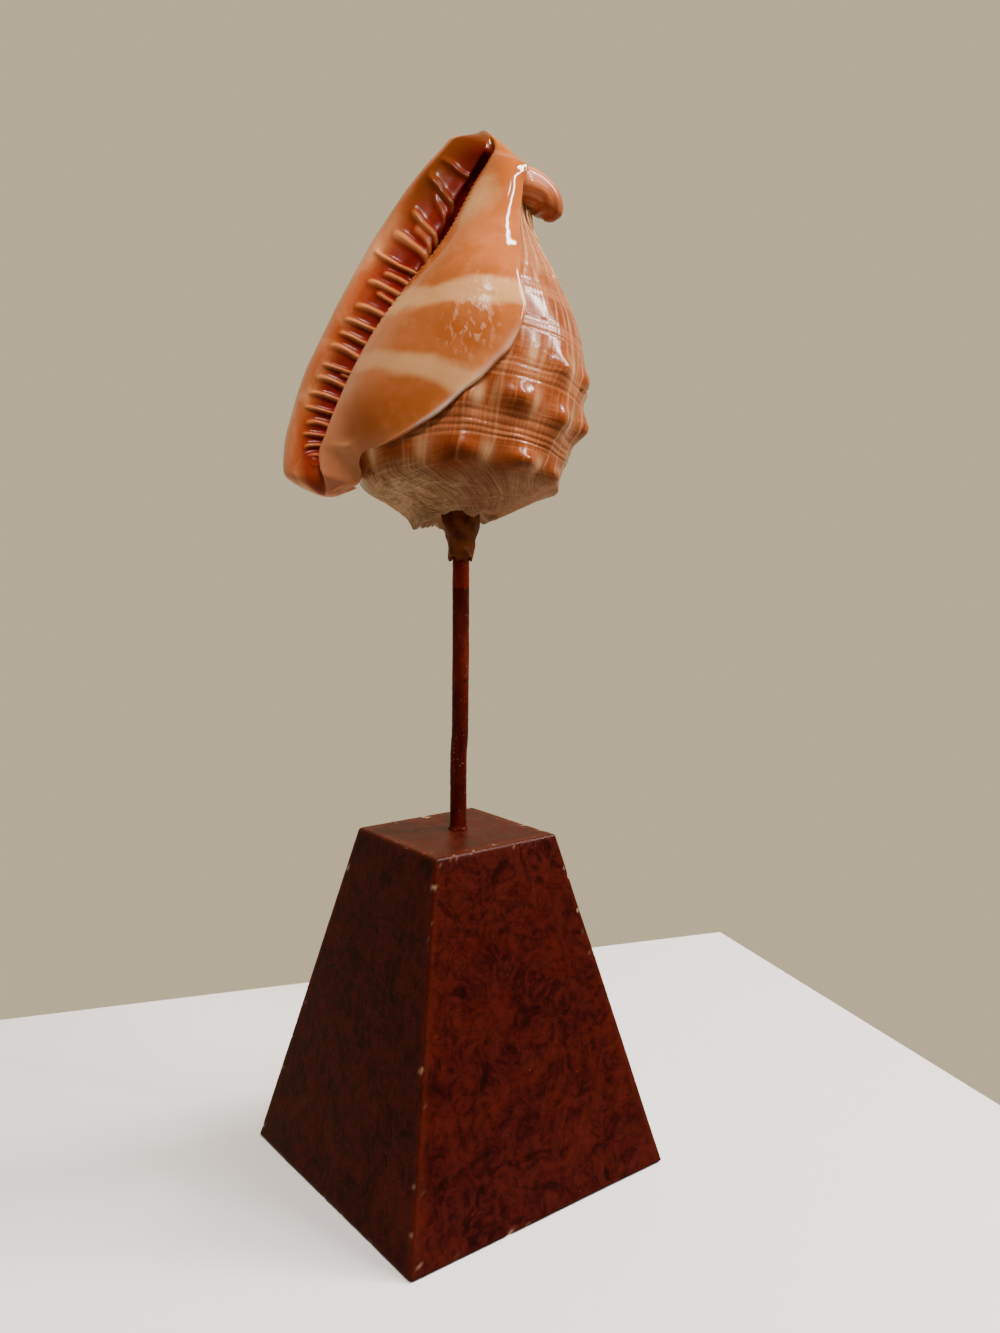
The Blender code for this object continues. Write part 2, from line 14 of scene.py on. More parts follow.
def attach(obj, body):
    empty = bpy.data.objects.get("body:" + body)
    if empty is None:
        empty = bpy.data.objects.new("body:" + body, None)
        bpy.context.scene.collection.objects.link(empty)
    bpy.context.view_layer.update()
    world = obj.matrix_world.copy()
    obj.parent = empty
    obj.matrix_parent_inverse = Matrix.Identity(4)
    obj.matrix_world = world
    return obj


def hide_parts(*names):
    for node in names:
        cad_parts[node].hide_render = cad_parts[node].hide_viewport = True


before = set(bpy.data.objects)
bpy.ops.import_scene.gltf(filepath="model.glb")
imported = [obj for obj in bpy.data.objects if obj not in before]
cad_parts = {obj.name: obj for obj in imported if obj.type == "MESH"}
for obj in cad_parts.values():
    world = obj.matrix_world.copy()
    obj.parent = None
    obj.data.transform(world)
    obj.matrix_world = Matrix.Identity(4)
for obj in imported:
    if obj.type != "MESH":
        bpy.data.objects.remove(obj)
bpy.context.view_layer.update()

# Block, metres
BASE_X = 0.110
BASE_Y = 0.1067
TOP_X = 0.0519
TOP_Y = 0.0504
BLOCK_HEIGHT = 0.1217
EDGE_ROUND = 0.0011

# Dowel, metres: centre line from the block's socket up into the putty
ROD_RADIUS = 0.003
ROD_LINE = (
    (0.00200, 0.00144, 0.1122),
    (0.00205, 0.00141, 0.1300),
    (0.00208, 0.00139, 0.1475),
    (0.00255, 0.00106, 0.1575),
    (0.00280, 0.00090, 0.1900),
    (0.00290, 0.00083, 0.2330),
)

# Putty collar: height and radius in metres, from its ragged foot up
PUTTY_RINGS = (
    (0.2196, 0.00405), (0.2203, 0.00440), (0.2222, 0.00455), (0.2255, 0.00490), (0.2290, 0.00590),
    (0.2322, 0.00650), (0.2352, 0.00655), (0.2385, 0.00560), (0.2400, 0.00330),
)

# Where the shell stands and how it leans, metres and degrees
SHELL_AT = (-0.00005, 0.00293, 0.2315)
VIEW_TURN = -35.33
LEAN_RIGHT = 12.0
LEAN_BACK = 10.0
FACE_TURN = 45.0

# Outer lip roll, millimetres: (height, centre x), (height, centre y), (height, radius)
LIP_X = (
    (0, -37.5), (1.5, -39.8), (3, -42.2), (5, -44.6), (9, -46.8), (14, -47.8), (22, -48.4),
    (33, -47.5), (45, -45.4), (60, -41.5), (70, -39.4), (85, -37.2), (99, -34.5),
    (113, -30.7), (123, -27.6), (134, -24.0), (142, -20.8), (147, -19),
)
LIP_Y = (
    (0, -33), (3, -32), (9, -31), (22, -31.7), (45, -31.6), (60, -30.2), (70, -29),
    (85, -26), (99, -23.3), (113, -20.3), (123, -17.8), (134, -14.6), (147, -11),
)
LIP_R = (
    (0, 5.5), (3, 7), (7, 8), (12, 8.5), (60, 8.6), (85, 8.2), (99, 7.8), (113, 7.4),
    (123, 7), (134, 6), (147, 4),
)
# Crest of the shield's inner rim
RIM_X = (
    (-1, -27), (2, -25.6), (4, -26.0), (6, -26.9), (9, -28.3), (14, -28.9), (20, -26.8),
    (28, -24.3), (40, -20.5), (50, -16.9), (60, -13.0), (70, -9.2), (80, -6.2), (89, -4.4),
    (99, -3.3), (113, -2.7), (125, -2.4), (131, -2.2), (136, -2.4), (140, -3.4), (144, -8), (147.2, -13),
)
RIM_Y = (
    (-1, -35), (2, -36.5), (6, -38.4), (12, -39.6), (20, -40.5), (30, -41), (40, -40.8), (50, -40.2),
    (60, -38.8), (70, -36.2), (80, -32.6), (89, -28.8), (99, -25), (113, -21), (125, -17.5),
    (135, -15), (147, -11),
)
# Outer edge of the shield where it ends on the body
EDGE_X = (
    (-1, -35), (0.5, -31), (2.6, -26.5), (7, -21.8), (10, -20), (12.5, -17.8), (14.3, -14.5),
    (15.7, -9.5), (17.0, -3.5), (18.6, 3.0), (20.8, 8.3), (23.5, 12.9), (28.2, 19.1),
    (35.8, 24.7), (40.4, 27.8), (47.3, 30.8), (53.3, 32.9), (62.2, 33.4), (69.1, 32.4),
    (77.1, 28.9), (92.4, 21.1), (114.9, 11.2), (127, 9.1), (133, 9.0), (137, 8.6),
    (140.5, 7.2), (144, 3.5), (147.2, -7),
)
EDGE_Y = (
    (-1, -32.5), (0.5, -31.5), (2.6, -29.5), (7, -27.5), (10, -28.3), (12.5, -29.8),
    (14.3, -31.8), (15.7, -33.8), (17.0, -35.5), (18.6, -36.4), (20.8, -36.4), (23.5, -35.8),
    (28.2, -33.8), (35.8, -30.9), (40.4, -28.6), (47.3, -25.5), (53.3, -22.5), (62.2, -20.0),
    (69.1, -18.6), (77.1, -19.3), (92.4, -15.6), (114.9, -10.3), (127, -9.2), (147, -7),
)
# By height: width and depth of the slot, swell of the shield, drop from the lip's crest to the slot
SLOT_WIDTH = (
    (4, 1.2), (9, 0.9), (12, 1.4), (16, 3.0), (20, 4.0), (45, 5.5), (70, 7.5), (90, 9), (113, 8),
    (124, 6.5), (131, 4.2), (136, 1.8), (139, 1.2),
)
SLOT_DEPTH = (
    (2, 0.1), (8, 0.3), (11, 1.5), (14, 5), (18, 11), (24, 17), (32, 20), (60, 22), (90, 18), (112, 11.5),
    (123, 6.6), (130, 3.6), (135, 1.2), (139, 0.3),
)
SHIELD_SWELL = (
    (-1, 0.8), (9, 2.2), (14, 2.6), (18, 3.4), (25, 4.8), (40, 7.0), (60, 9.0), (75, 8.4),
    (91, 6.8), (113, 4.6), (125, 3.6), (142, 1),
)
LIP_DROP = (
    (-1, 1), (6, 2.6), (10, 4), (14, 6), (18, 8), (25, 9), (60, 10), (90, 10.2), (113, 10),
    (124, 9.2), (131, 7), (137, 4), (142, 2),
)
# Heights where the mask, which is lip, slot and shield together, begins and ends
MASK_LOW = 1.0
MASK_TOP = 147.2
# Directions used where the mask's ends close to a rounded point, one a control point
ROUND_ANGLES = (
    150, 165, 188, 212, 236, 258, 276, 288, 292, 296, 300, 304, 308, 313, 319, 325, 332,
    339, 346, 353, 360, 375, 402, 435, 465, 492,
)
# Outer lip teeth: height and share of the way in at the outer end, both at the inner end, and size
TEETH = (
    (131.0, 0.25, 126.5, 0.85, 0.5), (123.4, 0.26, 114.1, 0.95, 1.0), (108.4, 0.45, 99.8, 1.0, 1.0),
    (99.2, 0.36, 91.7, 1.0, 1.0), (91.3, 0.16, 84.7, 0.95, 1.0), (83.4, 0.55, 80.0, 0.95, 0.8),
    (79.5, 0.38, 75.2, 0.95, 1.0), (75.6, 0.6, 71.8, 0.95, 0.7), (69.7, 0.38, 66.4, 0.95, 1.0),
    (64.2, 0.30, 61.0, 0.95, 1.0), (59.1, 0.33, 55.8, 0.92, 1.0), (54.2, 0.25, 50.6, 0.9, 1.0),
    (47.0, 0.30, 45.3, 0.9, 1.0), (42.2, 0.27, 40.0, 0.9, 1.0), (36.4, 0.22, 35.1, 0.9, 1.0),
    (31.2, 0.22, 30.4, 0.9, 1.0), (25.6, 0.35, 25.6, 0.9, 0.8), (21.4, 0.34, 22.3, 0.92, 0.9),
    (17.0, 0.42, 18.7, 0.92, 0.8), (13.0, 0.52, 14.8, 0.92, 0.7),
)
# Distance from the lip's crest to the slot, for the slope of a tooth
TOOTH_RUN = 11.0

# Body whorl rows from the spire's dish up: height, radius on the right, radius on the lip side
BODY = (
    (6.5, 0.3, 0.3), (6.2, 6.0, 6.0), (4.6, 9.6, 9.6), (2.4, 11.4, 11.4), (2.0, 12.8, 12.8),
    (3.0, 15.2, 15.2), (5.2, 18.6, 19.4), (7.8, 22.8, 23.8), (10.3, 26.8, 28.0),
    (13.0, 30.2, 32.4), (16.2, 32.4, 37.0), (20, 33.6, 42.0), (24, 34.1, 46.8),
    (28, 34.4, 48.4), (34, 35.4, 48.0), (41, 36.8, 46.4), (48, 37.4, 44.4), (56, 36.9, 41.6),
    (63, 35.6, 40.4), (70, 33.4, 39.2), (78, 29.8, 37.8), (86, 24.8, 36.0), (94, 18.8, 33.6),
    (102, 12.2, 30.4), (109, 7.0, 27.0), (114, 3.2, 24.0), (119, 1.6, 20.5), (125, 1.2, 15.5),
    (130, 1.2, 9.5), (133.5, 0.3, 0.3),
)
LAST_ROW = len(BODY) - 1
# Height over which the shield thins down to the body above its lower margin
MARGIN_FADE = 24.0
# How far the radius has moved from the right hand value (0) to the lip side value (1)
TURN = (
    (-90, 1.0), (-70, 1.0), (-50, 0.80), (-30, 0.42), (-10, 0.22), (20, 0.16), (45, 0.12),
    (70, 0.04), (90, 0.0), (126, 0.0), (180, 0.30), (225, 0.62), (270, 1.0),
)
# Slope of the whorl's low end, and the angle in degrees where it stands highest
SPIRE_TILT = 0.19
SPIRE_TILT_TOWARDS = 135.0
# Knob rows: height at 40 degrees, rise a degree, first knob, spacing, how proud, half width
KNOB_ROWS = (
    (18.2, -0.025, 44.0, 36.0, 3.5, 6.8),
    (26.0, 0.055, 46.0, 25.0, 0.9, 4.6),
    (36.4, 0.055, 67.0, 30.4, 3.5, 6.6),
    (51.2, 0.075, 60.0, 28.5, 2.6, 6.0),
)

# Bent canal: centre line and radius, millimetres
CANAL = (
    (-3.0, -10.0, 121.0, 4.6), (-1.2, -5.6, 124.2, 6.4), (0.3, -0.6, 126.5, 7.0),
    (1.6, 4.4, 127.0, 6.8), (2.8, 8.6, 125.9, 6.5), (3.7, 11.5, 123.5, 5.9),
    (4.2, 12.7, 121.4, 4.6), (4.3, 13.0, 120.0, 2.4),
)


def keyed(at, keys):
    """Smooth value between keys of (place, value), without overshoot."""
    kx, ky = np.array(keys, float).T
    step = np.diff(kx)
    rise = np.diff(ky) / step
    slope = np.zeros_like(ky)
    same = rise[:-1] * rise[1:] > 0
    both = rise[:-1] + rise[1:]
    slope[1:-1][same] = 2 * (rise[:-1] * rise[1:])[same] / both[same]
    slope[0] = rise[0]
    slope[-1] = rise[-1]
    at = np.clip(np.asarray(at, float), kx[0], kx[-1])
    i = np.clip(np.searchsorted(kx, at, side="right") - 1, 0, len(step) - 1)
    t = (at - kx[i]) / step[i]
    low = (1 + 2 * t) * (1 - t) ** 2 * ky[i] + t * (1 - t) ** 2 * step[i] * slope[i]
    high = t * t * (3 - 2 * t) * ky[i + 1] + t * t * (t - 1) * step[i] * slope[i + 1]
    return low + high


def ease(t):
    """Soft step from 0 to 1."""
    t = np.clip(t, 0, 1)
    return t * t * (3 - 2 * t)


def between(x, low, fade_in, high, fade_out):
    """Soft window: up from low over fade_in, and down to high over fade_out."""
    return ease((x - low) / fade_in) * ease((high - x) / fade_out)


def mask_controls(z):
    """Control points of the lip, slot and shield section at each height."""
    cx, cy, r = keyed(z, LIP_X), keyed(z, LIP_Y), keyed(z, LIP_R)
    rim_x, rim_y = keyed(z, RIM_X), keyed(z, RIM_Y)
    edge_x, edge_y = keyed(z, EDGE_X), keyed(z, EDGE_Y)
    width, depth = keyed(z, SLOT_WIDTH), keyed(z, SLOT_DEPTH)
    swell, drop = keyed(z, SHIELD_SWELL), keyed(z, LIP_DROP)
    rim_r = np.clip(0.25 * (edge_x - rim_x) + 1.0, 0.8, 4.5)
    rim_r = rim_r * (0.3 + 0.7 * between(z, 5, 8, 143, 11))
    slot_right = rim_x - rim_r
    slot_left = np.maximum(slot_right - width, cx + 0.75 * r)
    slot_right = np.maximum(slot_right, slot_left + 0.4)
    crest = cy - r
    lip_in = crest + drop
    rim_in = rim_y + rim_r
    deep = np.maximum(lip_in, rim_in) + depth
    under = np.maximum(deep, edge_y) + 3.2
    tuck = between(z, 8, 8, 140, 9)
    run_x, run_y = edge_x - rim_x, edge_y - rim_y
    run = np.hypot(run_x, run_y) + 1e-6

    margin = [(x, height) for height, x in EDGE_X if height < 60]

    def shield(share, lift):
        x = rim_x + run_x * share + run_y / run * lift * swell
        y = rim_y + run_y * share - run_x / run * lift * swell
        foot = keyed(x, margin)
        inside = 1 - (1 - np.clip((z - foot) / MARGIN_FADE + 0.05, 0, 1)) ** 2
        low = keyed(foot, EDGE_Y)
        return x, np.where(z < 60, np.maximum(y, low + (y - low) * inside), y)

    points = [
        (cx - 0.55 * r, cy + 1.0 * r),
        (cx - 0.95 * r, cy + 0.42 * r),
        (cx - 0.97 * r, cy - 0.25 * r),
        (cx - 0.62 * r, cy - 0.80 * r),
        (cx + 0.05 * r, crest),
        (cx + 0.66 * r, crest + 0.22 * drop),
        (0.5 * (cx + 0.66 * r) + 0.5 * slot_left, crest + 0.66 * drop),
        (slot_left - 0.2, lip_in),
        (slot_left - 0.2 - 0.6 * tuck, lip_in + 0.35 * depth),
        (slot_left + 0.4 * tuck, deep - 0.08 * depth),
        (0.5 * (slot_left + slot_right) + 1.2 * tuck, deep),
        (slot_right + 1.8 * tuck, deep - 0.12 * depth),
        (slot_right + 0.9 * tuck, rim_in + 0.45 * depth),
        (slot_right, rim_in),
        (slot_right + 0.32 * rim_r, rim_y + 0.30 * rim_r),
        (rim_x + 0.1 * rim_r, rim_y - 0.02 * rim_r),
        shield(0.25, 0.72),
        shield(0.50, 0.98),
        shield(0.75, 0.78),
        shield(0.93, 0.28),
        (edge_x, edge_y),
        (edge_x - 1.2, edge_y + 1.9),
        (edge_x - 0.38 * (edge_x - slot_right), edge_y + 0.45 * (under - edge_y)),
        (slot_right + 4.5, under),
        (slot_left - 2.5, under),
        (cx + 0.75 * r, cy + 1.25 * r + 1.5),
    ]
    rows = [np.stack([a + 0 * z, b + 0 * z], -1) for a, b in points]
    return np.stack(rows, 1)


def round_ends(points, z):
    """Close the mask's two ends to rounded points."""
    low = np.clip((z - MASK_LOW) / 8.5, 0, 1)
    high = np.clip((MASK_TOP - z) / 9.0, 0, 1)
    size = (1 - (1 - low) ** 2.4) ** (1 / 2.4) * np.sqrt(1 - (1 - high) ** 2)
    size = np.maximum(size, 0.03)[:, None, None]
    kept = (ease((z - 1.4) / 5.5) * ease((high - 0.1) / 0.8))[:, None, None]
    middle = 0.5 * (points.min(1, keepdims=True) + points.max(1, keepdims=True))
    spread = np.abs(points - middle).max(1, keepdims=True)
    turn = np.radians(ROUND_ANGLES)
    oval = middle + spread * 0.8 * np.stack([np.cos(turn), np.sin(turn)], -1)[None]
    mixed = points * kept + oval * (1 - kept)
    return middle + (mixed - middle) * size


def closed_curve(points, cuts):
    """Cubic through every control point, the same number of steps on every section."""
    count = points.shape[1]
    reach = np.sqrt(np.linalg.norm(np.roll(points, -1, 1) - points, axis=2) + 1e-9)
    back = np.roll(reach, 1, 1)
    ahead = (np.roll(points, -1, 1) - points) / reach[..., None]
    behind = (points - np.roll(points, 1, 1)) / back[..., None]
    tangent = behind * reach[..., None] + ahead * back[..., None]
    tangent = tangent / (reach + back)[..., None]
    out = []
    for i in range(count):
        j = (i + 1) % count
        p, q = points[:, i], points[:, j]
        a, b = tangent[:, i] * reach[:, i:i + 1], tangent[:, j] * reach[:, i:i + 1]
        for s in range(cuts[i]):
            t = s / cuts[i]
            out.append(
                (2 * t**3 - 3 * t * t + 1) * p + (t**3 - 2 * t * t + t) * a
                + (3 * t * t - 2 * t**3) * q + (t**3 - t * t) * b
            )
    return np.stack(out, 1)


def nearest_knob(deg, first, step):
    """Number of the nearest knob of a row, and the degrees from it."""
    steps = (deg - first) / step
    near = np.round(steps)
    return near, (steps - near) * step


def knob_lift(z, deg):
    """How far the blunt knobs stand out at a height and an angle of the body."""
    lift = np.zeros(np.broadcast(z, deg).shape)
    for row, (base, rise, first, step, proud, half) in enumerate(KNOB_ROWS):
        near, off = nearest_knob(deg, first, step)
        odd = 0.5 + 0.5 * np.sin(near * 2.3 + row * 1.7)
        middle = base + rise * (deg - 40) + 1.2 * np.sin(near * 3.1 + row)
        across = off / (half / 36.0 * 57.3)
        up = (z - middle) / (half * 0.82)
        lift = lift + proud * (0.7 + 0.45 * odd) * np.exp(-(across**2 + up**2) * 1.25)
    shy = ease((deg - 22 - 0.9 * np.clip(z - 22, 0, 40)) / 14)
    return lift * shy * ease((318 - deg) / 28)


def body_profile(rows):
    """Height, radius on the right and radius on the lip side, for rows from 0 to 1."""
    place = np.arange(len(BODY)) / LAST_ROW
    return [keyed(rows, list(zip(place, column))) for column in zip(*BODY)]


def body_rings(rows, deg):
    """Rings of the body whorl: rows 0 to 1 from the spire's dish to the neck."""
    height, right, lip = (value[:, None] for value in body_profile(rows))
    turned = (deg + 90) % 360 - 90
    share = np.interp(turned, *zip(*TURN))[None]
    radius = np.maximum(right + (lip - right) * share, 0.3)
    shoulder = ease((height - 8) / 8) * ease((rows[:, None] * LAST_ROW - 5.5) / 2)
    radius = radius + knob_lift(height, deg[None] % 360) * shoulder
    angle = np.radians(deg)[None]
    tilt = SPIRE_TILT * (1 - ease((height - 10) / 22))
    lean = np.cos(angle - math.radians(SPIRE_TILT_TOWARDS))
    rim = np.exp(-((rows[:, None] * LAST_ROW - 3.8) / 1.3) ** 2)
    chip = 1.7 * np.cos(angle + math.radians(48)) + 0.8 * np.sin(5 * angle + 1)
    height = height + tilt * radius * lean - rim * (chip + 0.5 * np.sin(11 * angle))
    return np.stack([radius * np.sin(angle), -radius * np.cos(angle), height + 0 * angle], -1)


def view_axes():
    """Level directions to the photo's right and away from its viewer."""
    turn = math.radians(VIEW_TURN)
    return Vector((math.cos(turn), math.sin(turn), 0)), Vector((-math.sin(turn), math.cos(turn), 0))


def shell_frame():
    """Matrix from the shell's millimetres to world metres."""
    across, away = view_axes()
    right, back = math.radians(LEAN_RIGHT), math.radians(LEAN_BACK)
    up = math.sin(right) * math.cos(back) * across + math.sin(back) * away
    up = up + Vector((0, 0, math.cos(right) * math.cos(back)))
    up.normalize()
    face = math.radians(FACE_TURN)
    out = -math.sin(face) * across - math.cos(face) * away
    out = (out - out.dot(up) * up).normalized()
    y_axis = -out
    x_axis = y_axis.cross(up)
    turned = Matrix((x_axis, y_axis, up)).transposed().to_4x4()
    return Matrix.Translation(SHELL_AT) @ turned @ Matrix.Scale(0.001, 4)


# Fine shape of the shell
def waves(points, size, seed, count=7):
    """Smooth bumpy value, about -1 to 1, over points (..., k) with features of that size."""
    rng = np.random.RandomState(seed)
    total = np.zeros(points.shape[:-1])
    for _ in range(count):
        way = rng.normal(size=points.shape[-1])
        way = way / np.linalg.norm(way) * (2 * math.pi / size) * rng.uniform(0.6, 1.5)
        total = total + np.sin(points @ way + rng.uniform(0, 6.28))
    return total / math.sqrt(count * 2)


def normals_of(grid):
    """Unit normals of a grid (rows, columns, 3) whose columns run round it."""
    across = np.roll(grid, -1, 1) - np.roll(grid, 1, 1)
    n = np.cross(across, np.gradient(grid, axis=0))
    return n / (np.linalg.norm(n, axis=2, keepdims=True) + 1e-12)


def bell(x, wide):
    return np.exp(-((x / wide) ** 2))


def patches(x, z, spots):
    """Strongest of the soft oval spots: strength, middle across and up, half width and height."""
    return np.max([much * bell(x - px, wide) * bell(z - pz, tall) for much, px, pz, wide, tall in spots], 0)


def side_by_side(*values):
    """Values stacked as the coordinates of points."""
    return np.stack(np.broadcast_arrays(*values), -1)


# Places on a mask section's curve, and the share of the way from lip's crest to slot there
SHARE_PLACES = [3.0, 4, 5, 6, 7, 8, 9, 10]
SHARES = [-0.3, 0, 0.38, 0.72, 1, 1.45, 2.2, 3]
# Small teeth that only the scene has, written like TEETH
EXTRA_TEETH = (
    (10.0, 0.60, 11.6, 0.95, 0.55), (7.4, 0.62, 8.8, 0.95, 0.45),
    (5.2, 0.60, 6.2, 0.95, 0.3), (44.7, 0.66, 42.8, 0.95, 0.35), (102.6, 0.62, 95.4, 1.0, 0.4),
    (116.4, 0.62, 107.6, 1.0, 0.35),
)


def fine_teeth(z, share):
    """Height of the teeth: rounded crests, with shallow valleys between them."""
    lift = np.zeros(np.broadcast(z, share).shape)
    for i, (z_out, s_out, z_in, s_in, size) in enumerate(TEETH + EXTRA_TEETH):
        odd = math.sin(i * 2.4 + 0.7)
        along = (share - s_out) / (s_in - s_out)
        bow = (0.5 + 0.4 * odd) * np.sin(np.clip(along, 0, 1) * math.pi)
        middle = z_out + (z_in - z_out) * np.clip(along, -0.2, 1.6) + bow
        slope = (z_in - z_out) / (TOOTH_RUN * (s_in - s_out))
        wide = (0.92 + 0.18 * odd) * math.sqrt(1 + slope * slope)
        across = (z - middle) / wide
        ridge = np.exp(-np.abs(across) ** 1.9)
        rise = ease((along + 0.12) / 0.42) * (1 - 0.85 * ease((along - 1.15) / 0.7))
        knob = 0.25 * bell(along - 0.06, 0.14) * np.exp(-np.abs(across / 1.2) ** 2)
        lift = np.maximum(lift, (ridge * rise + knob) * (0.35 + 0.65 * size))
    return lift


def mask_surface(z, cuts):
    """Lip, slot and shield in the shell's millimetres, with share, place, tooth and height of each point."""
    flat = closed_curve(round_ends(mask_controls(z), z), cuts)
    place = np.concatenate([i + np.arange(n) / n for i, n in enumerate(cuts)])
    ahead = np.roll(flat, -1, 1) - np.roll(flat, 1, 1)
    length = np.linalg.norm(ahead, axis=2, keepdims=True) + 1e-9
    out = np.stack([ahead[..., 1], -ahead[..., 0]], -1) / length
    share = np.interp(place, SHARE_PLACES, SHARES)
    zz, pp = np.broadcast_arrays(z[:, None], place[None])
    on_lip = (place > 3.0) & (place < 10)
    tooth = fine_teeth(zz, share[None]) * on_lip[None]
    ends = between(zz, 2.5, 5, 143, 8)
    tooth = tooth * between(zz, 12, 4, 141, 8)
    valley = ease((share[None] - 0.35) / 0.5) * (1 - ease((share[None] - 1.1) / 0.7)) * on_lip[None]
    valley = valley * between(zz, 9, 6, 136, 10)
    lift = (1.25 * tooth - 0.45 * valley * (1 - tooth)) * ends
    # Crenulated inner rim of the shield, and the faint folds on the slot's right wall
    rim = bell(pp - 13.9, 0.85) * between(zz, 48, 22, 134, 10)
    fold = np.sin(zz * 2 * math.pi / 2.15 + 1.3 * np.sin(zz / 5.3))
    lift = lift + 0.30 * rim * fold
    # Raised, rounded edge of the shield in its upper half, thin callus edge below
    edge_at = flat[:, [int(np.argmin(np.abs(place - 20)))]]
    from_edge = np.linalg.norm(flat - edge_at, axis=2)
    crest_at = keyed(zz, ((84, 7.6), (103, 6.3), (118, 5.5), (132, 3.6)))
    ridge = bell(from_edge - crest_at, 4.6) * between(pp, 14.4, 1.5, 20.6, 0.6)
    ridge = ridge * between(zz, 82, 36, 142, 16)
    lift = lift + 1.7 * ridge
    # Slow swells of the callus
    spot = side_by_side(flat[..., 0], zz)
    shield = between(pp, 14.2, 1.2, 21, 1.0)
    swells = (0.16 * waves(spot, 17, 3) + 0.02 * waves(spot, 5.5, 4)) * (1 - 0.85 * ridge)
    lift = lift + shield * swells * ends
    lip = between(pp, 0.2, 0.8, 6.5, 1.5)
    lift = lift + lip * 0.10 * waves(spot, 9, 5) * ends
    # Small curls where the slot runs out at the lower end
    curl_at = np.hypot(flat[..., 0] + 35.2, zz - 13.6)
    curls = 0.5 * bell(curl_at - 1.2, 0.45) + 0.6 * bell(curl_at - 3.1, 0.6)
    lift = lift + curls * between(pp, 4.2, 0.8, 8.4, 0.8) * ease((15.5 - zz) / 2)
    flat = flat + out * lift[..., None]
    inward = flat[..., 0] - keyed(z, LIP_X)[:, None]
    lean = 0.24 * ease((zz - 116) / 26) * (inward + 2)
    height = zz - lean - 0.20 * ease((zz - 134) / 10) * (inward - 5)
    return np.concatenate([flat, height[..., None]], 2), share[None], pp, tooth, zz


# Spiral grooves of the body at 60 degrees: height, depth, half width and darkness
GROOVES = (
    (25.0, 0.45, 0.42, 0.9), (27.1, 0.40, 0.42, 0.8), (29.3, 0.45, 0.45, 1.0),
    (32.3, 0.40, 0.45, 0.8), (34.2, 0.15, 0.35, 0.3), (45.6, 0.50, 0.45, 1.0),
    (47.6, 0.22, 0.35, 0.4), (49.6, 0.50, 0.48, 1.0), (51.5, 0.28, 0.40, 0.6),
    (62.9, 0.40, 0.42, 0.8), (64.9, 0.22, 0.35, 0.4), (66.8, 0.40, 0.42, 0.8),
    (76.8, 0.24, 0.40, 0.5), (79.6, 0.34, 0.40, 0.7), (81.4, 0.34, 0.40, 0.7),
    (87.6, 0.40, 0.50, 0.7), (91.5, 0.30, 0.45, 0.5), (95.5, 0.30, 0.45, 0.5),
    (99.5, 0.30, 0.45, 0.5), (103.5, 0.30, 0.45, 0.5), (107.5, 0.30, 0.45, 0.5),
)
# The same on the shoulder, by distance along its profile
SHOULDER_GROOVES = (
    (14.3, 0.20, 0.35, 0.6), (12.9, 0.30, 0.42, 0.7), (10.9, 0.42, 0.50, 0.7), (9.6, 0.25, 0.35, 0.5),
    (7.3, 0.45, 0.50, 0.8), (5.0, 0.38, 0.45, 0.6), (3.4, 0.28, 0.38, 0.5), (1.2, 0.46, 0.52, 0.8),
    (-1.2, 0.40, 0.45, 0.6), (-2.9, 0.30, 0.40, 0.5), (-5.3, 0.46, 0.52, 0.8), (-7.8, 0.36, 0.45, 0.6),
    (-9.4, 0.30, 0.40, 0.5), (-11.8, 0.42, 0.50, 0.7),
)
# How far a groove climbs with each degree
DRIFT = 0.06
# Lower and upper ends of the bands between knob rows
BANDS = ((23.6, 34.6), (44.2, 52.8), (61.8, 68), (76, 82.6), (86.4, 109))
# Long growth lines: angle and strength
GROWTH_LINES = (
    (41.5, .25), (57.5, .35), (76.5, .2), (99, .5), (108.5, .4), (121, .6), (128, .35), (146, .5), (171, .4),
    (198, .5), (226, .4), (-18, .25), (8, .25), (23, .25),
)
# Eroded pits: angle, height and size
PITS = ((-24, 10.4, 0.7), (-19, 9.2, 0.5), (112, 52.5, 0.6), (-12, 7.6, .5))
# Pale streaks: angle, width and strength
STREAKS = (
    (61.5, 1.5, .7), (69.5, 1.8, 1.0), (78.5, 1.2, .6), (85, 1.0, .7), (92, 1.3, .7), (98.5, 1.0, .8),
    (106, 1.4, .6), (115, 1.5, .8), (127, 2.0, .7), (139, 1.6, .8), (152, 2.2, .7), (167, 1.6, .8),
    (181, 2.2, .7), (197, 1.7, .8), (214, 2.0, .6), (52, 0.9, .3), (44, 0.8, .3), (31, 0.8, .3),
    (20, 0.8, .3), (231, 2.0, .7), (247, 1.6, .6), (263, 1.8, .6),
)


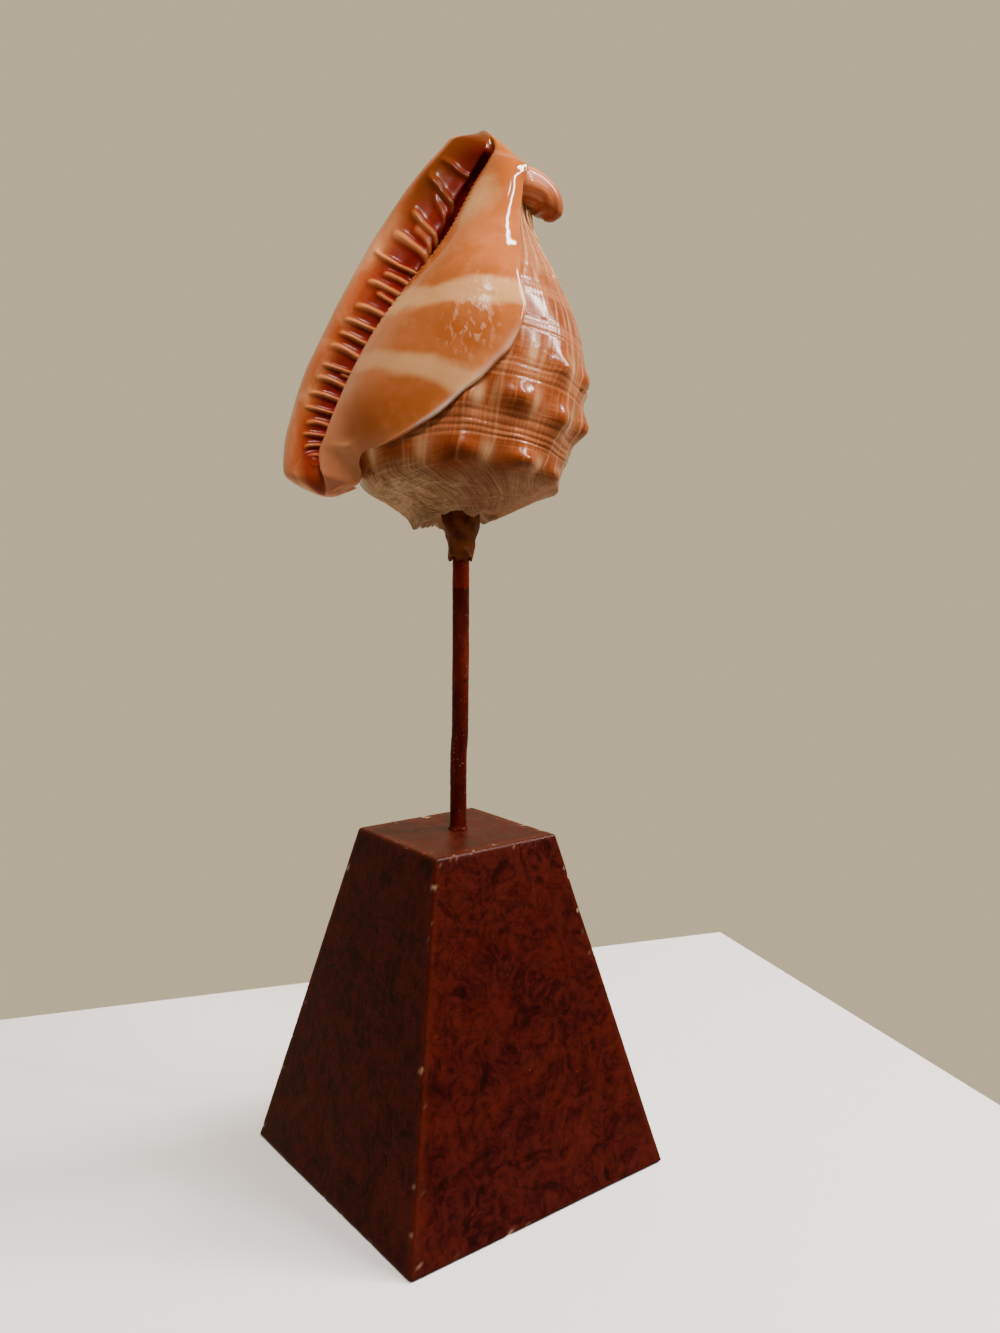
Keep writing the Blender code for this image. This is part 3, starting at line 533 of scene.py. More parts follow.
def body_surface(rows, deg):
    """Body whorl and spire in the shell's millimetres, with angle, neck ribs and shading values."""
    grid = body_rings(rows, deg)
    out = normals_of(grid)
    turned = (deg + 90) % 360 - 90
    # Distance along the right hand profile, equal to the height at 16 mm and above
    z_of, r_of, _ = body_profile(rows)
    step = np.hypot(np.diff(z_of), np.diff(r_of))
    run = np.concatenate([[0], np.cumsum(step)])
    row = rows * LAST_ROW
    run = run - np.interp(16.0, z_of[row > 4], run[row > 4]) + 16.0
    along = np.where(z_of > 16, z_of, run)
    outer = row > 4.2
    u, t = np.broadcast_arrays(along[:, None], turned[None])
    level = u - DRIFT * (t - 60)
    level = level + 0.25 * np.sin(np.radians(t * 3 + 40)) + 0.2 * np.sin(np.radians(t * 7))
    stray = 0.5 * waves(side_by_side(t * 0.5, level * 0.4), 9, 31) + 0.3 * np.sin(np.radians(t * 13))
    level = level + ease((17 - level) / 6) * stray
    groove = np.zeros(u.shape)
    dark = np.zeros(u.shape)
    for at, depth, wide, ink in GROOVES + SHOULDER_GROOVES:
        line = bell(level - at, wide * 1.2)
        groove = np.maximum(groove, line * depth * 0.62)
        dark = np.maximum(dark, bell(level - at, wide * 1.1) * ink)
    dark = dark * np.clip(0.62 + 0.5 * waves(side_by_side(t, level * 0.8), 17, 41), 0.15, 1)
    # Bands between knob rows, where the axial threads are strong
    band = np.zeros(u.shape)
    for low, high in BANDS:
        band = np.maximum(band, ease((level - low) / 1.2) * ease((high - level) / 1.2))
    shoulder = ease((17 - level) / 8)
    band = np.maximum(band, shoulder)
    groove = groove * (1 - 0.45 * shoulder)
    dark = dark * (1 - 0.5 * shoulder)
    # Axial threads: nearly upright on the body, swept on the shoulder
    sweep = t - 2.0 * np.maximum(16 - level, 0) + 0.05 * (level - 40)
    knobs = knob_lift(grid[..., 2], deg[None] % 360)
    sweep = sweep + 1.2 * np.sin(level / 6.0 + 0.7) + 1.0 * np.sin(level / 13.0)
    phase = sweep / 2.25 + 0.35 * np.sin(np.radians(sweep * 11)) + 0.3 * np.sin(np.radians(sweep * 23))
    thread = np.cos(2 * math.pi * phase)
    thread = np.where(thread > 0, thread, 0.6 * thread)
    coarse = waves(side_by_side(sweep, level * 0.05), 14, 11)
    strength = 0.06 * band + 0.015 + 0.32 * shoulder
    detail = -groove * (0.6 + 0.4 * band) + strength * thread * (1 - 0.4 * np.clip(coarse, -1, 1))
    # Long growth lines that cross everything
    lines = np.zeros(u.shape)
    for at, proud in GROWTH_LINES:
        wobble = 0.8 * np.sin(level / 7.0 + at) + 0.35 * np.sin(level / 2.7 + 2 * at)
        lines = np.maximum(lines, bell(sweep - at + wobble, 0.75) * proud)
    detail = detail + lines * 0.4
    # Short ribs under the shoulder on the right
    ribs = np.maximum(np.cos(2 * math.pi * sweep / 5.6), -0.3) * bell(level - 5, 5) * bell(t - 74, 30)
    detail = detail + 0.5 * ribs
    # The third knob row hardly stands out beside the shield
    detail = detail - 0.9 * knobs * ease((grid[..., 2] - 45) / 5) * ease((92 - t) / 15)
    # Broad pale ribs of the neck under the canal
    neck = ease((np.cos(2 * math.pi * sweep / 13 + 0.8 * np.sin(level / 9)) + 0.1) / 0.9)
    neck = neck * ease((level - 83) / 9)
    detail = detail + 0.6 * neck
    # Worn, thinly threaded shoulder on the lip's side
    upper = ease((17 + 6 * ease((36 - t) / 24) - level) / 11)
    worn = upper * (0.5 + 0.5 * ease((70 - t) / 40) * ease((t + 75) / 20))
    detail = detail * (1 - 0.45 * worn) + 0.12 * worn * waves(grid, 2.6, 21)
    detail = detail + 0.02 * waves(grid, 8, 22) + 0.08 * waves(grid * [1, 1, .6], 24, 23) * (1 - shoulder)
    # Small eroded pits beside the tongue and on one knob
    pits = np.max([bell(np.hypot((t - at) * 0.6, grid[..., 2] - z), size) for at, z, size in PITS], 0)
    detail = detail - 0.5 * pits
    # Ragged broken edge of the spire
    rim = bell(row[:, None] - 4.0, 0.75)
    a = np.radians(t)
    jag = np.abs(((t / 17.0 + 0.3 * np.sin(5 * a)) % 1) - 0.35) * 1.5
    jag = jag + 0.35 * np.sign(np.sin(11 * a + 2 * np.sin(3 * a))) + 0.4 * np.sin(29 * a) * np.sin(7 * a)
    grid = grid + out * (detail * outer[:, None])[..., None]
    grid[..., 2] = grid[..., 2] - rim * 0.75 * jag
    values = {
        "level": level, "dark": dark, "band": band, "thread": thread * 0.5 + 0.5, "worn": worn, "pits": pits,
        "lines": lines, "shoulder": ease((20 - level) / 9), "rim": rim, "sweep": sweep,
    }
    return grid, t, neck, values


def body_colours(level, t, band, neck):
    """Shares of pale and brown over the body, from the knob rows and the angle."""
    cream = np.zeros(t.shape)
    brown = np.zeros(t.shape)
    for row, (base, rise, first, step, proud, _) in enumerate(KNOB_ROWS):
        if proud < 1.5:
            continue
        near, off = nearest_knob(t, first, step)
        middle = base + (rise - DRIFT) * (t - 40) + 0.8 + 1.2 * np.sin(near * 3.1 + row)
        tall = bell(level - middle, 5.4)
        odd = 0.5 + 0.5 * np.sin(near * 1.9 + row * 2.6)
        wide, beyond = ((8.5, 13.0) if row == 0 else (6.2, 9.8))
        ink = (0.8 + 0.2 * odd) * (1.0 if row == 0 else 0.3)
        brown = np.maximum(brown, bell(off + 3.0, wide) * bell(level - middle + 1.8, 4.6) * ink)
        cream = np.maximum(cream, bell(off - beyond, 0.3 * beyond) * tall * (0.7 + 0.3 * odd))
        cream = np.maximum(cream, 0.35 * bell(off + 1.5 * beyond, 3.6) * tall * (1 - 0.5 * odd))
    streaks = np.zeros(t.shape)
    for at, wide, much in STREAKS:
        drift = 1.2 * np.sin(level / 7.5 + at * 0.37)
        beat = 0.65 + 0.35 * np.sin(level / 4.1 + at)
        streaks = np.maximum(streaks, bell(t - at + drift, 0.7 * wide) * much * beat)
    high = ease((level - 50) / 12)
    cream = np.maximum(cream, streaks * (0.15 + 0.7 * high) * (1 - 0.5 * band))
    cream = np.maximum(cream, 0.9 * neck)
    return np.clip(cream, 0, 1), np.clip(brown, 0, 1)


# Meshes from grids of points
def grid_piece(name, parts, node, mat, frame_matrix=None):
    """One smooth piece from grids that run round: each part is (grid, values, keep faces or None)."""
    verts, faces, values, start = [], [], {}, 0
    for grid, shades, keep in parts:
        n, m = grid.shape[:2]
        verts.append(grid.reshape(-1, 3))
        i, j = np.meshgrid(np.arange(n - 1), np.arange(m), indexing="ij")
        k = (j + 1) % m
        quads = np.stack([i * m + j, i * m + k, (i + 1) * m + k, (i + 1) * m + j], -1)
        if keep is not None:
            quads = quads[keep[i, j] | keep[i, k] | keep[i + 1, k] | keep[i + 1, j]]
        faces.append(quads.reshape(-1, 4) + start)
        for key, value in shades.items():
            before = values.setdefault(key, np.zeros(0))
            flat = np.broadcast_to(value, (n, m)).reshape(-1)
            values[key] = np.concatenate([before, np.zeros(start - len(before)), flat])
        start += n * m
    verts, faces = np.concatenate(verts), np.concatenate(faces)
    if frame_matrix is not None:
        f = np.array(frame_matrix)
        verts = verts @ f[:3, :3].T + f[:3, 3]
    used = np.zeros(len(verts), bool)
    used[faces.reshape(-1)] = True
    mesh = bpy.data.meshes.new(name)
    mesh.from_pydata(verts[used].tolist(), [], (np.cumsum(used) - 1)[faces].tolist())
    for key, value in values.items():
        value = np.concatenate([value, np.zeros(len(verts) - len(value))])
        layer = mesh.attributes.new(key, "FLOAT", "POINT")
        layer.data.foreach_set("value", value[used].astype(np.float32))
    mesh.shade_smooth()
    mesh.materials.append(mat)
    obj = bpy.data.objects.new(name, mesh)
    bpy.context.scene.collection.objects.link(obj)
    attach(obj, "root")
    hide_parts(node)
    return obj


def tube_grid(path, around, rings):
    """Smooth tube grid along (x, y, z, radius) keys, its rings square to the path."""
    keys = np.array(path, float)
    at = np.concatenate([[0], np.cumsum(np.linalg.norm(np.diff(keys[:, :3], axis=0), axis=1))])
    s = np.linspace(0, at[-1], rings)
    cols = [keyed(s, list(zip(at, keys[:, k]))) for k in range(4)]
    spots = np.stack(cols[:3], -1)
    ahead = np.gradient(spots, axis=0)
    ahead = ahead / np.linalg.norm(ahead, axis=1, keepdims=True)
    side = np.cross(ahead[0], [0.3, 0.2, 0.93])
    sides = []
    for d in ahead:
        side = side - d * (side @ d)
        side = side / np.linalg.norm(side)
        sides.append(side)
    sides = np.array(sides)
    up = np.cross(ahead, sides)
    turn = np.linspace(0, 2 * math.pi, around, endpoint=False)
    ring = sides[:, None] * np.cos(turn)[None, :, None] + up[:, None] * np.sin(turn)[None, :, None]
    return spots[:, None] + ring * cols[3][:, None, None], ring, s / at[-1], turn


# Node materials
def rgb(code):
    """Linear colour from a hex code."""
    parts = [int(code[i:i + 2], 16) / 255 for i in (0, 2, 4)]
    return tuple(c / 12.92 if c < 0.04045 else ((c + 0.055) / 1.055) ** 2.4 for c in parts) + (1.0,)


def add_node(tree, kind, sockets=(), out=0, **settings):
    """Add a node, fill or link its sockets, given as (name or number, value), and return one output."""
    made = tree.nodes.new(kind)
    for key, value in settings.items():
        setattr(made, key, value)
    fill(tree, made, sockets)
    return made.outputs[out]


def fill(tree, made, sockets):
    """Give a node's inputs their values, or link them to an output."""
    for key, value in sockets:
        if isinstance(value, bpy.types.NodeSocket):
            tree.links.new(value, made.inputs[key])
        else:
            made.inputs[key].default_value = value


class Mat:
    """A material and short names for the shader nodes that it uses."""

    def __init__(self, name):
        self.mat = bpy.data.materials.new(name)
        self.mat.use_nodes = True
        self.spot = self.node("ShaderNodeTexCoord", out="Object")

    def node(self, kind, sockets=(), out=0, **settings):
        return add_node(self.mat.node_tree, kind, sockets, out, **settings)

    def attr(self, name):
        return self.node("ShaderNodeAttribute", out="Fac", attribute_name=name)

    def math(self, op, a, b):
        return self.node("ShaderNodeMath", ((0, a), (1, b)), operation=op)

    def times(self, a, b):
        return self.math("MULTIPLY", a, b)

    def plus(self, a, b):
        return self.math("ADD", a, b)

    def mix(self, share, a, b):
        sockets = ((0, share), (6, a), (7, b))
        return self.node("ShaderNodeMix", sockets, 2, data_type="RGBA", clamp_factor=True)

    def coats(self, color, *layers):
        """A colour with others laid over it in turn, each as (share, hex code)."""
        for share, code in layers:
            color = self.mix(share, color, rgb(code))
        return color

    def span(self, value, low, high, to_low=0.0, to_high=1.0):
        sockets = enumerate((value, low, high, to_low, to_high))
        return self.node("ShaderNodeMapRange", sockets, interpolation_type="SMOOTHSTEP")

    def stretch(self, x, y, z, turn=(0, 0, 0)):
        sockets = (("Vector", self.spot), ("Rotation", turn), ("Scale", (x, y, z)))
        return self.node("ShaderNodeMapping", sockets)

    def join(self, x, y):
        return self.node("ShaderNodeCombineXYZ", ((0, x), (1, y)))

    def noise(self, scale, detail=3.0, rough=0.55, at=None, bend=0.0):
        sockets = (("Vector", self.spot if at is None else at), ("Scale", scale), ("Detail", detail),
                   ("Roughness", rough), ("Distortion", bend))
        return self.node("ShaderNodeTexNoise", sockets, "Fac")

    def cell_edges(self, scale):
        """Distance to the nearest edge between cells."""
        sockets = (("Vector", self.spot), ("Scale", scale))
        return self.node("ShaderNodeTexVoronoi", sockets, "Distance", feature="DISTANCE_TO_EDGE")

    def ramp(self, share, stops):
        color = self.node("ShaderNodeValToRGB", ((0, share),))
        parts = color.node.color_ramp.elements
        while len(parts) < len(stops):
            parts.new(0.5)
        for part, (at, code) in zip(parts, stops):
            part.position = at
            part.color = rgb(code)
        return color

    def bump(self, height, strength, distance):
        sockets = (("Strength", strength), ("Distance", distance), ("Height", height))
        return self.node("ShaderNodeBump", sockets)

    def finish(self, color, rough, normal=None, **fixed):
        sockets = [("Base Color", color), ("Roughness", rough)]
        if normal is not None:
            sockets.append(("Normal", normal))
        sockets += [(key.replace("_", " "), value) for key, value in fixed.items()]
        fill(self.mat.node_tree, self.mat.node_tree.nodes["Principled BSDF"], sockets)
        return self.mat


# Materials
def callus_colour(m, mottle, raised_drops_and_painted_glint):
    """Lip, slot and shield."""
    share, tooth, cream, darker_top_and_painted_shadow = m.attr("share"), m.attr("tooth"), m.attr("cream"), m.attr("darker_top_and_painted_shadow")
    gap = m.times(m.span(share, 0.08, 0.62), m.span(tooth, 0.6, 0.1))
    lip = m.coats(
        m.ramp(mottle, ((0.25, "a04920"), (0.5, "ad562b"), (0.75, "b96238"))),
        (m.span(m.noise(55, 4, 0.6, bend=0.6), 0.42, 0.70, 0, 0.9), "ce8a59"),
        (m.span(share, 0.25, -0.25, 0, 0.6), "c58c66"),
        (m.span(share, 0.3, 0.9, 0, 0.5), "9c3c0e"),
        (m.times(gap, 0.9), "7a1a06"),
        (m.times(m.span(tooth, 0.3, 0.8), 0.7), "c67a47"),
        # Painted shadow beside the tongue's lower end, and darker towards the top of the lip
        (darker_top_and_painted_shadow, "652e0b"),
    )
    deep = m.ramp(m.noise(130, 2), ((0.3, "5c0601"), (0.7, "700c03")))
    lip = m.mix(m.times(m.attr("inner"), m.span(tooth, 0.75, 0.2, 0.25, 1.0)), lip, deep)
    cloud = m.noise(38, 4, 0.6, bend=0.5)
    ragged = m.times(m.math("SUBTRACT", m.noise(75, 5, 0.62, bend=0.5), 0.5), 0.9)
    bars = m.times(m.span(m.plus(cream, ragged), 0.1, 0.95), m.span(cream, 0.0, 0.25))
    shield = m.coats(
        m.mix(m.span(cloud, 0.32, 0.7), rgb("9d5221"), rgb("b56a3c")),
        (m.span(m.noise(140, 4, 0.6), 0.5, 0.8, 0, 0.35), "c57e52"),
        # Darker towards the top of the shield
        (m.times(darker_top_and_painted_shadow, 0.45), "9c4f18"),
        (m.times(m.attr("tan"), m.span(cloud, 0.3, 0.6, 0.55, 1.0)), "8c4000"),
        (bars, "c89260"),
        # Pale drops: a painted highlight over the raised drops
        (m.times(raised_drops_and_painted_glint, 0.45), "d0997a"),
    )
    callus = m.mix(m.span(m.attr("place"), 11.6, 14.2), lip, shield)
    return m.coats(callus, (m.times(m.attr("rosy"), 0.55), "b57c5c"), (m.attr("blush"), "cdb7ab"))


def body_colour(m):
    """Body whorl: streaks both ways, brown and pale patches, and the worn, dusty shoulder."""
    dark, band, thread = m.attr("dark"), m.attr("band"), m.attr("thread")
    sweep, level = m.attr("sweep"), m.attr("level")
    streak = m.noise(1.0, 4, 0.7, at=m.join(m.times(sweep, 0.55), m.times(level, 0.045)))
    cords = m.noise(1.0, 4, 0.7, at=m.join(m.times(sweep, 0.03), m.times(level, 0.9)))
    crest = m.times(m.span(thread, 0.5, 1.0), band)
    valley = m.times(m.span(thread, 0.5, 0.0), band)
    low = m.times(m.attr("shoulder"), m.span(m.noise(60, 4, 0.6, bend=0.5), 0.35, 0.6, 0.35, 0.8))
    base = m.coats(
        m.ramp(m.noise(75, 4, 0.65), ((0.25, "702e0f"), (0.5, "863f1d"), (0.75, "97502d"))),
        (m.span(streak, 0.54, 0.74, 0, 0.7), "ab7748"),
        (m.span(cords, 0.54, 0.7, 0, 0.5), "b07c50"),
        (m.span(cords, 0.48, 0.34, 0, 0.55), "5f2c0c"),
        (m.span(streak, 0.50, 0.34, 0, 0.75), "6d300a"),
        (m.times(m.attr("pale"), m.span(streak, 0.25, 0.6, 0.55, 1.0)), "b98e64"),
        (m.attr("brown"), "591d01"),
        (m.times(crest, 0.45), "a46c3c"),
        (m.times(valley, 0.35), "682b0b"),
        (m.times(band, 0.4), "a86642"),
        (m.times(dark, 0.6), "62290b"),
        (m.attr("lines"), "bf8a60"),
        (low, "84441b"),
    )
    dust = m.coats(
        m.mix(m.span(streak, 0.35, 0.65), rgb("6c4520"), rgb("b88c58")),
        (m.span(cords, 0.54, 0.68, 0, 0.55), "cdb08c"),
        (m.span(cords, 0.48, 0.34, 0, 0.6), "573414"),
        (m.span(m.noise(110, 5, 0.7), 0.48, 0.72), "c49f72"),
        (m.span(m.noise(85, 4, 0.7, bend=0.8), 0.5, 0.3, 0, 0.75), "5c3716"),
        (m.times(crest, 0.7), "d0ae84"),
        (m.times(dark, 0.7), "452410"),
        (m.times(valley, 0.5), "4e2a10"),
    )
    cover = m.times(m.attr("worn"), m.span(m.noise(48, 4, 0.6, bend=0.6), 0.3, 0.6, 0.55, 0.95))
    base = m.mix(cover, base, dust)
    return m.coats(base, (m.times(m.attr("rim"), 0.8), "8a6a4a"), (m.times(m.attr("pits"), 0.8), "2c1006"))


def canal_colour(m):
    stripe = m.noise(1.0, 3, 0.6, at=m.join(m.times(m.attr("strand"), 3.5), m.attr("tip")))
    hook = m.mix(m.span(stripe, 0.4, 0.65), rgb("a75930"), rgb("c2815d"))
    return m.coats(hook, (m.times(m.attr("tip"), 0.6), "73300f"))


def shell_material():
    """One shader for the whole shell: callus, sculptured body and hooked canal by attribute."""
    m = Mat("shell surface")
    is_body = m.attr("is_body")
    mottle = m.noise(60, 4, 0.6)
    peel = m.noise(1.0, 2, 0.5, at=m.stretch(560, 560, 260, (0.15, 0.1, 0.6)), bend=0.3)
    # Raised drops: their bump is relief, their pale colour a painted highlight
    raised_drops_and_painted_glint = m.times(m.span(peel, 0.50, 0.66), m.attr("drop_and_glint_area"))
    color = m.mix(is_body, callus_colour(m, mottle, raised_drops_and_painted_glint), body_colour(m))
    color = m.mix(m.attr("is_canal"), color, canal_colour(m))
    gloss = m.span(mottle, 0.3, 0.7, 0.06, 0.09)
    satin = m.span(m.noise(420, 3, 0.6), 0.3, 0.7, 0.15, 0.22)
    rough = m.plus(m.times(is_body, m.math("SUBTRACT", satin, gloss)), gloss)
    for name, more in (("worn", 0.45), ("is_canal", 0.12), ("inner", 0.3), ("matte", 0.3)):
        rough = m.plus(rough, m.times(m.attr(name), more))
    grain = m.times(m.noise(900, 3, 0.6), m.plus(m.times(is_body, 0.05), 0.03))
    normal = m.bump(m.plus(grain, m.times(raised_drops_and_painted_glint, 0.5)), 0.35, 0.0006)
    return m.finish(color, rough, normal, Specular_IOR_Level=0.22, Coat_Weight=0.08, Coat_Roughness=0.05,
                    Subsurface_Weight=0.06, Subsurface_Scale=0.003, IOR=1.45)


def putty_material():
    m = Mat("brown putty")
    lump = m.noise(240, 4, 0.6)
    color = m.coats(
        m.ramp(lump, ((0.3, "421b07"), (0.5, "5f2b09"), (0.72, "793f0e"))),
        (m.span(m.attr("foot"), 0.0, 1.0, 0, 0.7), "4a0f03"),
        (m.span(m.noise(900, 2), 0.66, 0.78, 0, 0.5), "7c5632"),
    )
    normal = m.bump(m.plus(lump, m.times(m.noise(1500, 3), 0.4)), 0.6, 0.0005)
    return m.finish(color, m.span(lump, 0.3, 0.7, 0.42, 0.62), normal, Specular_IOR_Level=0.15)


def rod_material():
    m = Mat("painted dowel")
    along = m.stretch(1.0, 1.0, 0.25)
    blotch = m.noise(190, 5, 0.65, at=along, bend=0.5)
    color = m.ramp(blotch, ((0.3, "290502"), (0.5, "3d0a03"), (0.68, "551006")))
    upper = m.ramp(m.noise(260, 3, at=along), ((0.3, "540d05"), (0.7, "6e190a")))
    flecks = m.times(m.span(m.noise(1300, 2), 0.66, 0.72), m.attr("worn"))
    color = m.coats(m.mix(m.attr("band"), color, upper), (flecks, "b08870"))
    normal = m.bump(blotch, 0.35, 0.0004)
    return m.finish(color, m.span(blotch, 0.3, 0.7, 0.36, 0.52), normal, Specular_IOR_Level=0.08)


def block_material():
    """Mottled, burl-like lacquer with dusty top, pale chips and a few specks."""
    m = Mat("mottled lacquer")
    swirl = m.noise(34, 6, 0.68, bend=1.6)
    burl = m.noise(120, 5, 0.7, bend=2.2)
    color = m.coats(
        m.ramp(swirl, ((0.28, "170202"), (0.48, "290402"), (0.66, "3a0902"))),
        (m.span(burl, 0.42, 0.62, 0, 0.5), "460d03"),
        (m.span(burl, 0.46, 0.32, 0, 0.7), "100201"),
        (m.span(m.cell_edges(210), 0.10, 0.0, 0, 0.3), "0e0201"),
        (m.span(m.noise(700, 2), 0.70, 0.76, 0, 0.45), "622813"),
        (m.times(m.attr("dust"), m.span(m.noise(140, 4), 0.3, 0.7, 0.2, 0.5)), "3c1a0d"),
        (m.attr("chip"), "a88468"),
        (m.attr("edge"), "491708"),
    )
    normal = m.bump(m.plus(burl, m.times(m.noise(600, 3), 0.5)), 0.22, 0.0005)
    return m.finish(color, m.span(burl, 0.3, 0.7, 0.34, 0.50), normal, Specular_IOR_Level=0.10)


# Pieces
FRAME = shell_frame()
# Steps between one control point of a mask section and the next
FINE_STEPS = (3, 3, 5, 7) + (15, 15, 14, 9) + (4, 4, 4, 4, 6) + (10, 10, 8, 8, 8, 8, 9, 5) + (2,) * 5
# Sections of the mask, closer together where the teeth are: share of the sections, height
MASK_SECTIONS = 400
MASK_SPREAD = ((0, MASK_LOW), (0.03, 2.6), (0.12, 12), (0.30, 36), (0.72, 96), (0.97, 142.8), (1, MASK_TOP))
# Rings of the body: row that a part starts at, and its number of rings
BODY_PARTS = ((0, 5), (3.4, 13), (5, 77), (12, 91), (19, 49), (24, 25), (LAST_ROW, 0))
# Columns of the body, degrees: first, last and step
BODY_TURNS = ((-60, 15, 0.9), (15, 140, 0.68), (140, 300, 1.12))
# Columns and rows of the smaller pieces, and the turns in radians that round off the canal's end
CANAL_AROUND, CANAL_RINGS = 64, 90
CANAL_END = (0.5, 1.0, 1.4, 1.56)
PUTTY_AROUND, PUTTY_ROWS = 96, 70
ROD_AROUND, ROD_RINGS = 48, 260
# Heights on the dowel, metres: lower end, scuff, knot and the step to its brighter upper end
ROD_FOOT, ROD_SCUFF, ROD_KNOT, ROD_STEP = 0.1135, 0.1495, 0.1772, 0.2094
# Points along the block's side, round its corner, up its faces and over its top edge
BLOCK_SIDE, BLOCK_CORNER, BLOCK_LAYERS, BLOCK_EDGE = 60, 7, 110, 5
# Soft patches of the shield, as patches() takes them
CREAM_SPOTS = ((0.75, 2.5, 110, 7.5, 13), (0.5, -22, 15.5, 5.0, 7), (0.35, -18, 33, 6.0, 8))
TAN_SPOTS = ((0.65, -9, 27, 7.5, 6.0), (0.45, -25, 5, 6, 8), (0.6, 24, 55, 9, 5))
# Patch of raised drops, whose pale colour is a painted highlight
DROP_AND_GLINT_SPOTS = ((1, 23, 60, 7.0, 17),)


def make_mask_part():
    """Lip, slot and shield with their shading, and the points that can be seen."""
    heights = np.interp(np.linspace(0, 1, MASK_SECTIONS), *zip(*MASK_SPREAD))
    grid, share, place, tooth, z = mask_surface(heights, FINE_STEPS)
    x = grid[..., 0]
    on = ease((place - 13.6) / 1.6) * (place < 22)
    spot = side_by_side(x, z)
    # Two cream bars across the shield
    wave = 1.5 * waves(spot, 22, 61) + 0.6 * waves(spot, 8, 62)
    high = z - (66.3 + 0.0075 * (x + 2) ** 2) + wave
    low = z - (43.4 - 0.16 * np.maximum(x, 0) - 0.09 * np.minimum(x, 0)) + wave
    cream = 0.9 * ease((8.4 - np.abs(high)) / 6.5) * (0.55 + 0.45 * ease((x + 26) / 14))
    cream = np.maximum(cream, 0.85 * ease((7.4 - np.abs(low)) / 6.0) * (0.6 + 0.4 * ease((x + 24) / 8)))
    cream = np.maximum(cream, patches(x, z, CREAM_SPOTS))
    tan = 0.5 * ease((z - 80) / 12) * ease((x - 13) / 9) * ease((128 - z) / 10)
    tan = np.maximum(tan, patches(x, z, TAN_SPOTS))
    blush = bell(place - 20.0, 0.45) * ease((66 - z) / 12) * ease((z - 18) / 8)
    rosy = 0.8 * ease((24 - z) / 10) * ease(place - 13.8) * (place < 21)
    # Where the raised drops go; their pale colour is a painted highlight
    drop_and_glint_area = np.clip(1.5 * patches(x, z, DROP_AND_GLINT_SPOTS) - 0.2, 0, 1)
    inner = ease((share - 0.20 - 0.1 * bell(z - 65, 20)) / (0.62 + 0.30 * ease((z - 80) / 30)))
    inner = inner * between(z, 9, 6, 143.5, 6) * ease((13.2 - place) / 1.6)
    # Darker towards the top of the lip and shield
    darker_top_and_painted_shadow = 0.9 * ease((z - 98) / 28) * ease((share + 0.15) / 0.45) + 0.35 * ease((z - 88) / 20)
    values = {
        "share": share, "place": place, "tooth": tooth, "inner": inner, "cream": cream * on, "tan": tan * on,
        # Painted shadow: darker lip beside the slot's lower end, left of the tongue's edge
        "darker_top_and_painted_shadow": np.maximum(np.clip(darker_top_and_painted_shadow, 0, 1), 0.5 * bell(place - 7.4, 1.3) * bell(z - 7.5, 4.5)),
        "blush": blush * (0.35 + 0.65 * bell(z - 28, 9)), "drop_and_glint_area": drop_and_glint_area * on,
        "rosy": np.maximum(bell(place - 14.6, 1.5) * ease((70 - z) / 25), rosy), "matte": ease((13 - z) / 7),
    }
    keep = (place < 21.6) | (z < 6) | (z > 138) | ((place > 25) & (z > 0))
    return grid, values, keep


def bearing(x, y):
    """Angle round the coil axis in degrees, 0 on the aperture side."""
    return np.degrees(np.arctan2(x, -y))


def make_body_part():
    """Body whorl with its shading, without the points that the mask hides."""
    parts = zip(BODY_PARTS, BODY_PARTS[1:])
    rows = [np.linspace(low, high, count, endpoint=False) for (low, count), (high, _) in parts]
    rows = np.concatenate(rows + [[LAST_ROW]]) / LAST_ROW
    grid, t, neck, values = body_surface(rows, np.concatenate([np.arange(*part) for part in BODY_TURNS]))
    values["pale"], values["brown"] = body_colours(values["level"], t, values["band"], neck)
    values["is_body"] = 1.0
    z = grid[..., 2]
    edge = bearing(keyed(z, EDGE_X), keyed(z, EDGE_Y))
    back = bearing(keyed(z, LIP_X) - 0.55 * keyed(z, LIP_R), keyed(z, LIP_Y) + keyed(z, LIP_R))
    hidden = (t > back + 12) & (t < edge - 9) & (z > 15) & (z < 130)
    return grid, values, ~hidden


def make_canal_part():
    """Hooked canal with a rounded end."""
    grid, ring, along, turn = tube_grid(CANAL, CANAL_AROUND, CANAL_RINGS)
    a, s = np.broadcast_arrays(turn[None], along[:, None])
    lift = 0.10 * np.sin(a * 9 + 2 * np.sin(s * 4)) * ease(s * 3) + 0.10 * waves(grid, 9, 71)
    grid = grid + ring * lift[..., None]
    centre = grid[-1].mean(0)
    ahead = centre - grid[-4].mean(0)
    ahead = ahead / np.linalg.norm(ahead) * 0.9
    caps = [centre + (grid[-1:] - centre) * math.cos(b) + ahead * math.sin(b) for b in CANAL_END]
    grid = np.concatenate([grid] + caps)
    s = np.concatenate([s, np.ones((len(caps), CANAL_AROUND))])
    values = {"tip": ease((s - 0.62) / 0.2), "is_canal": 1.0, "strand": turn[None]}
    return grid, values, None


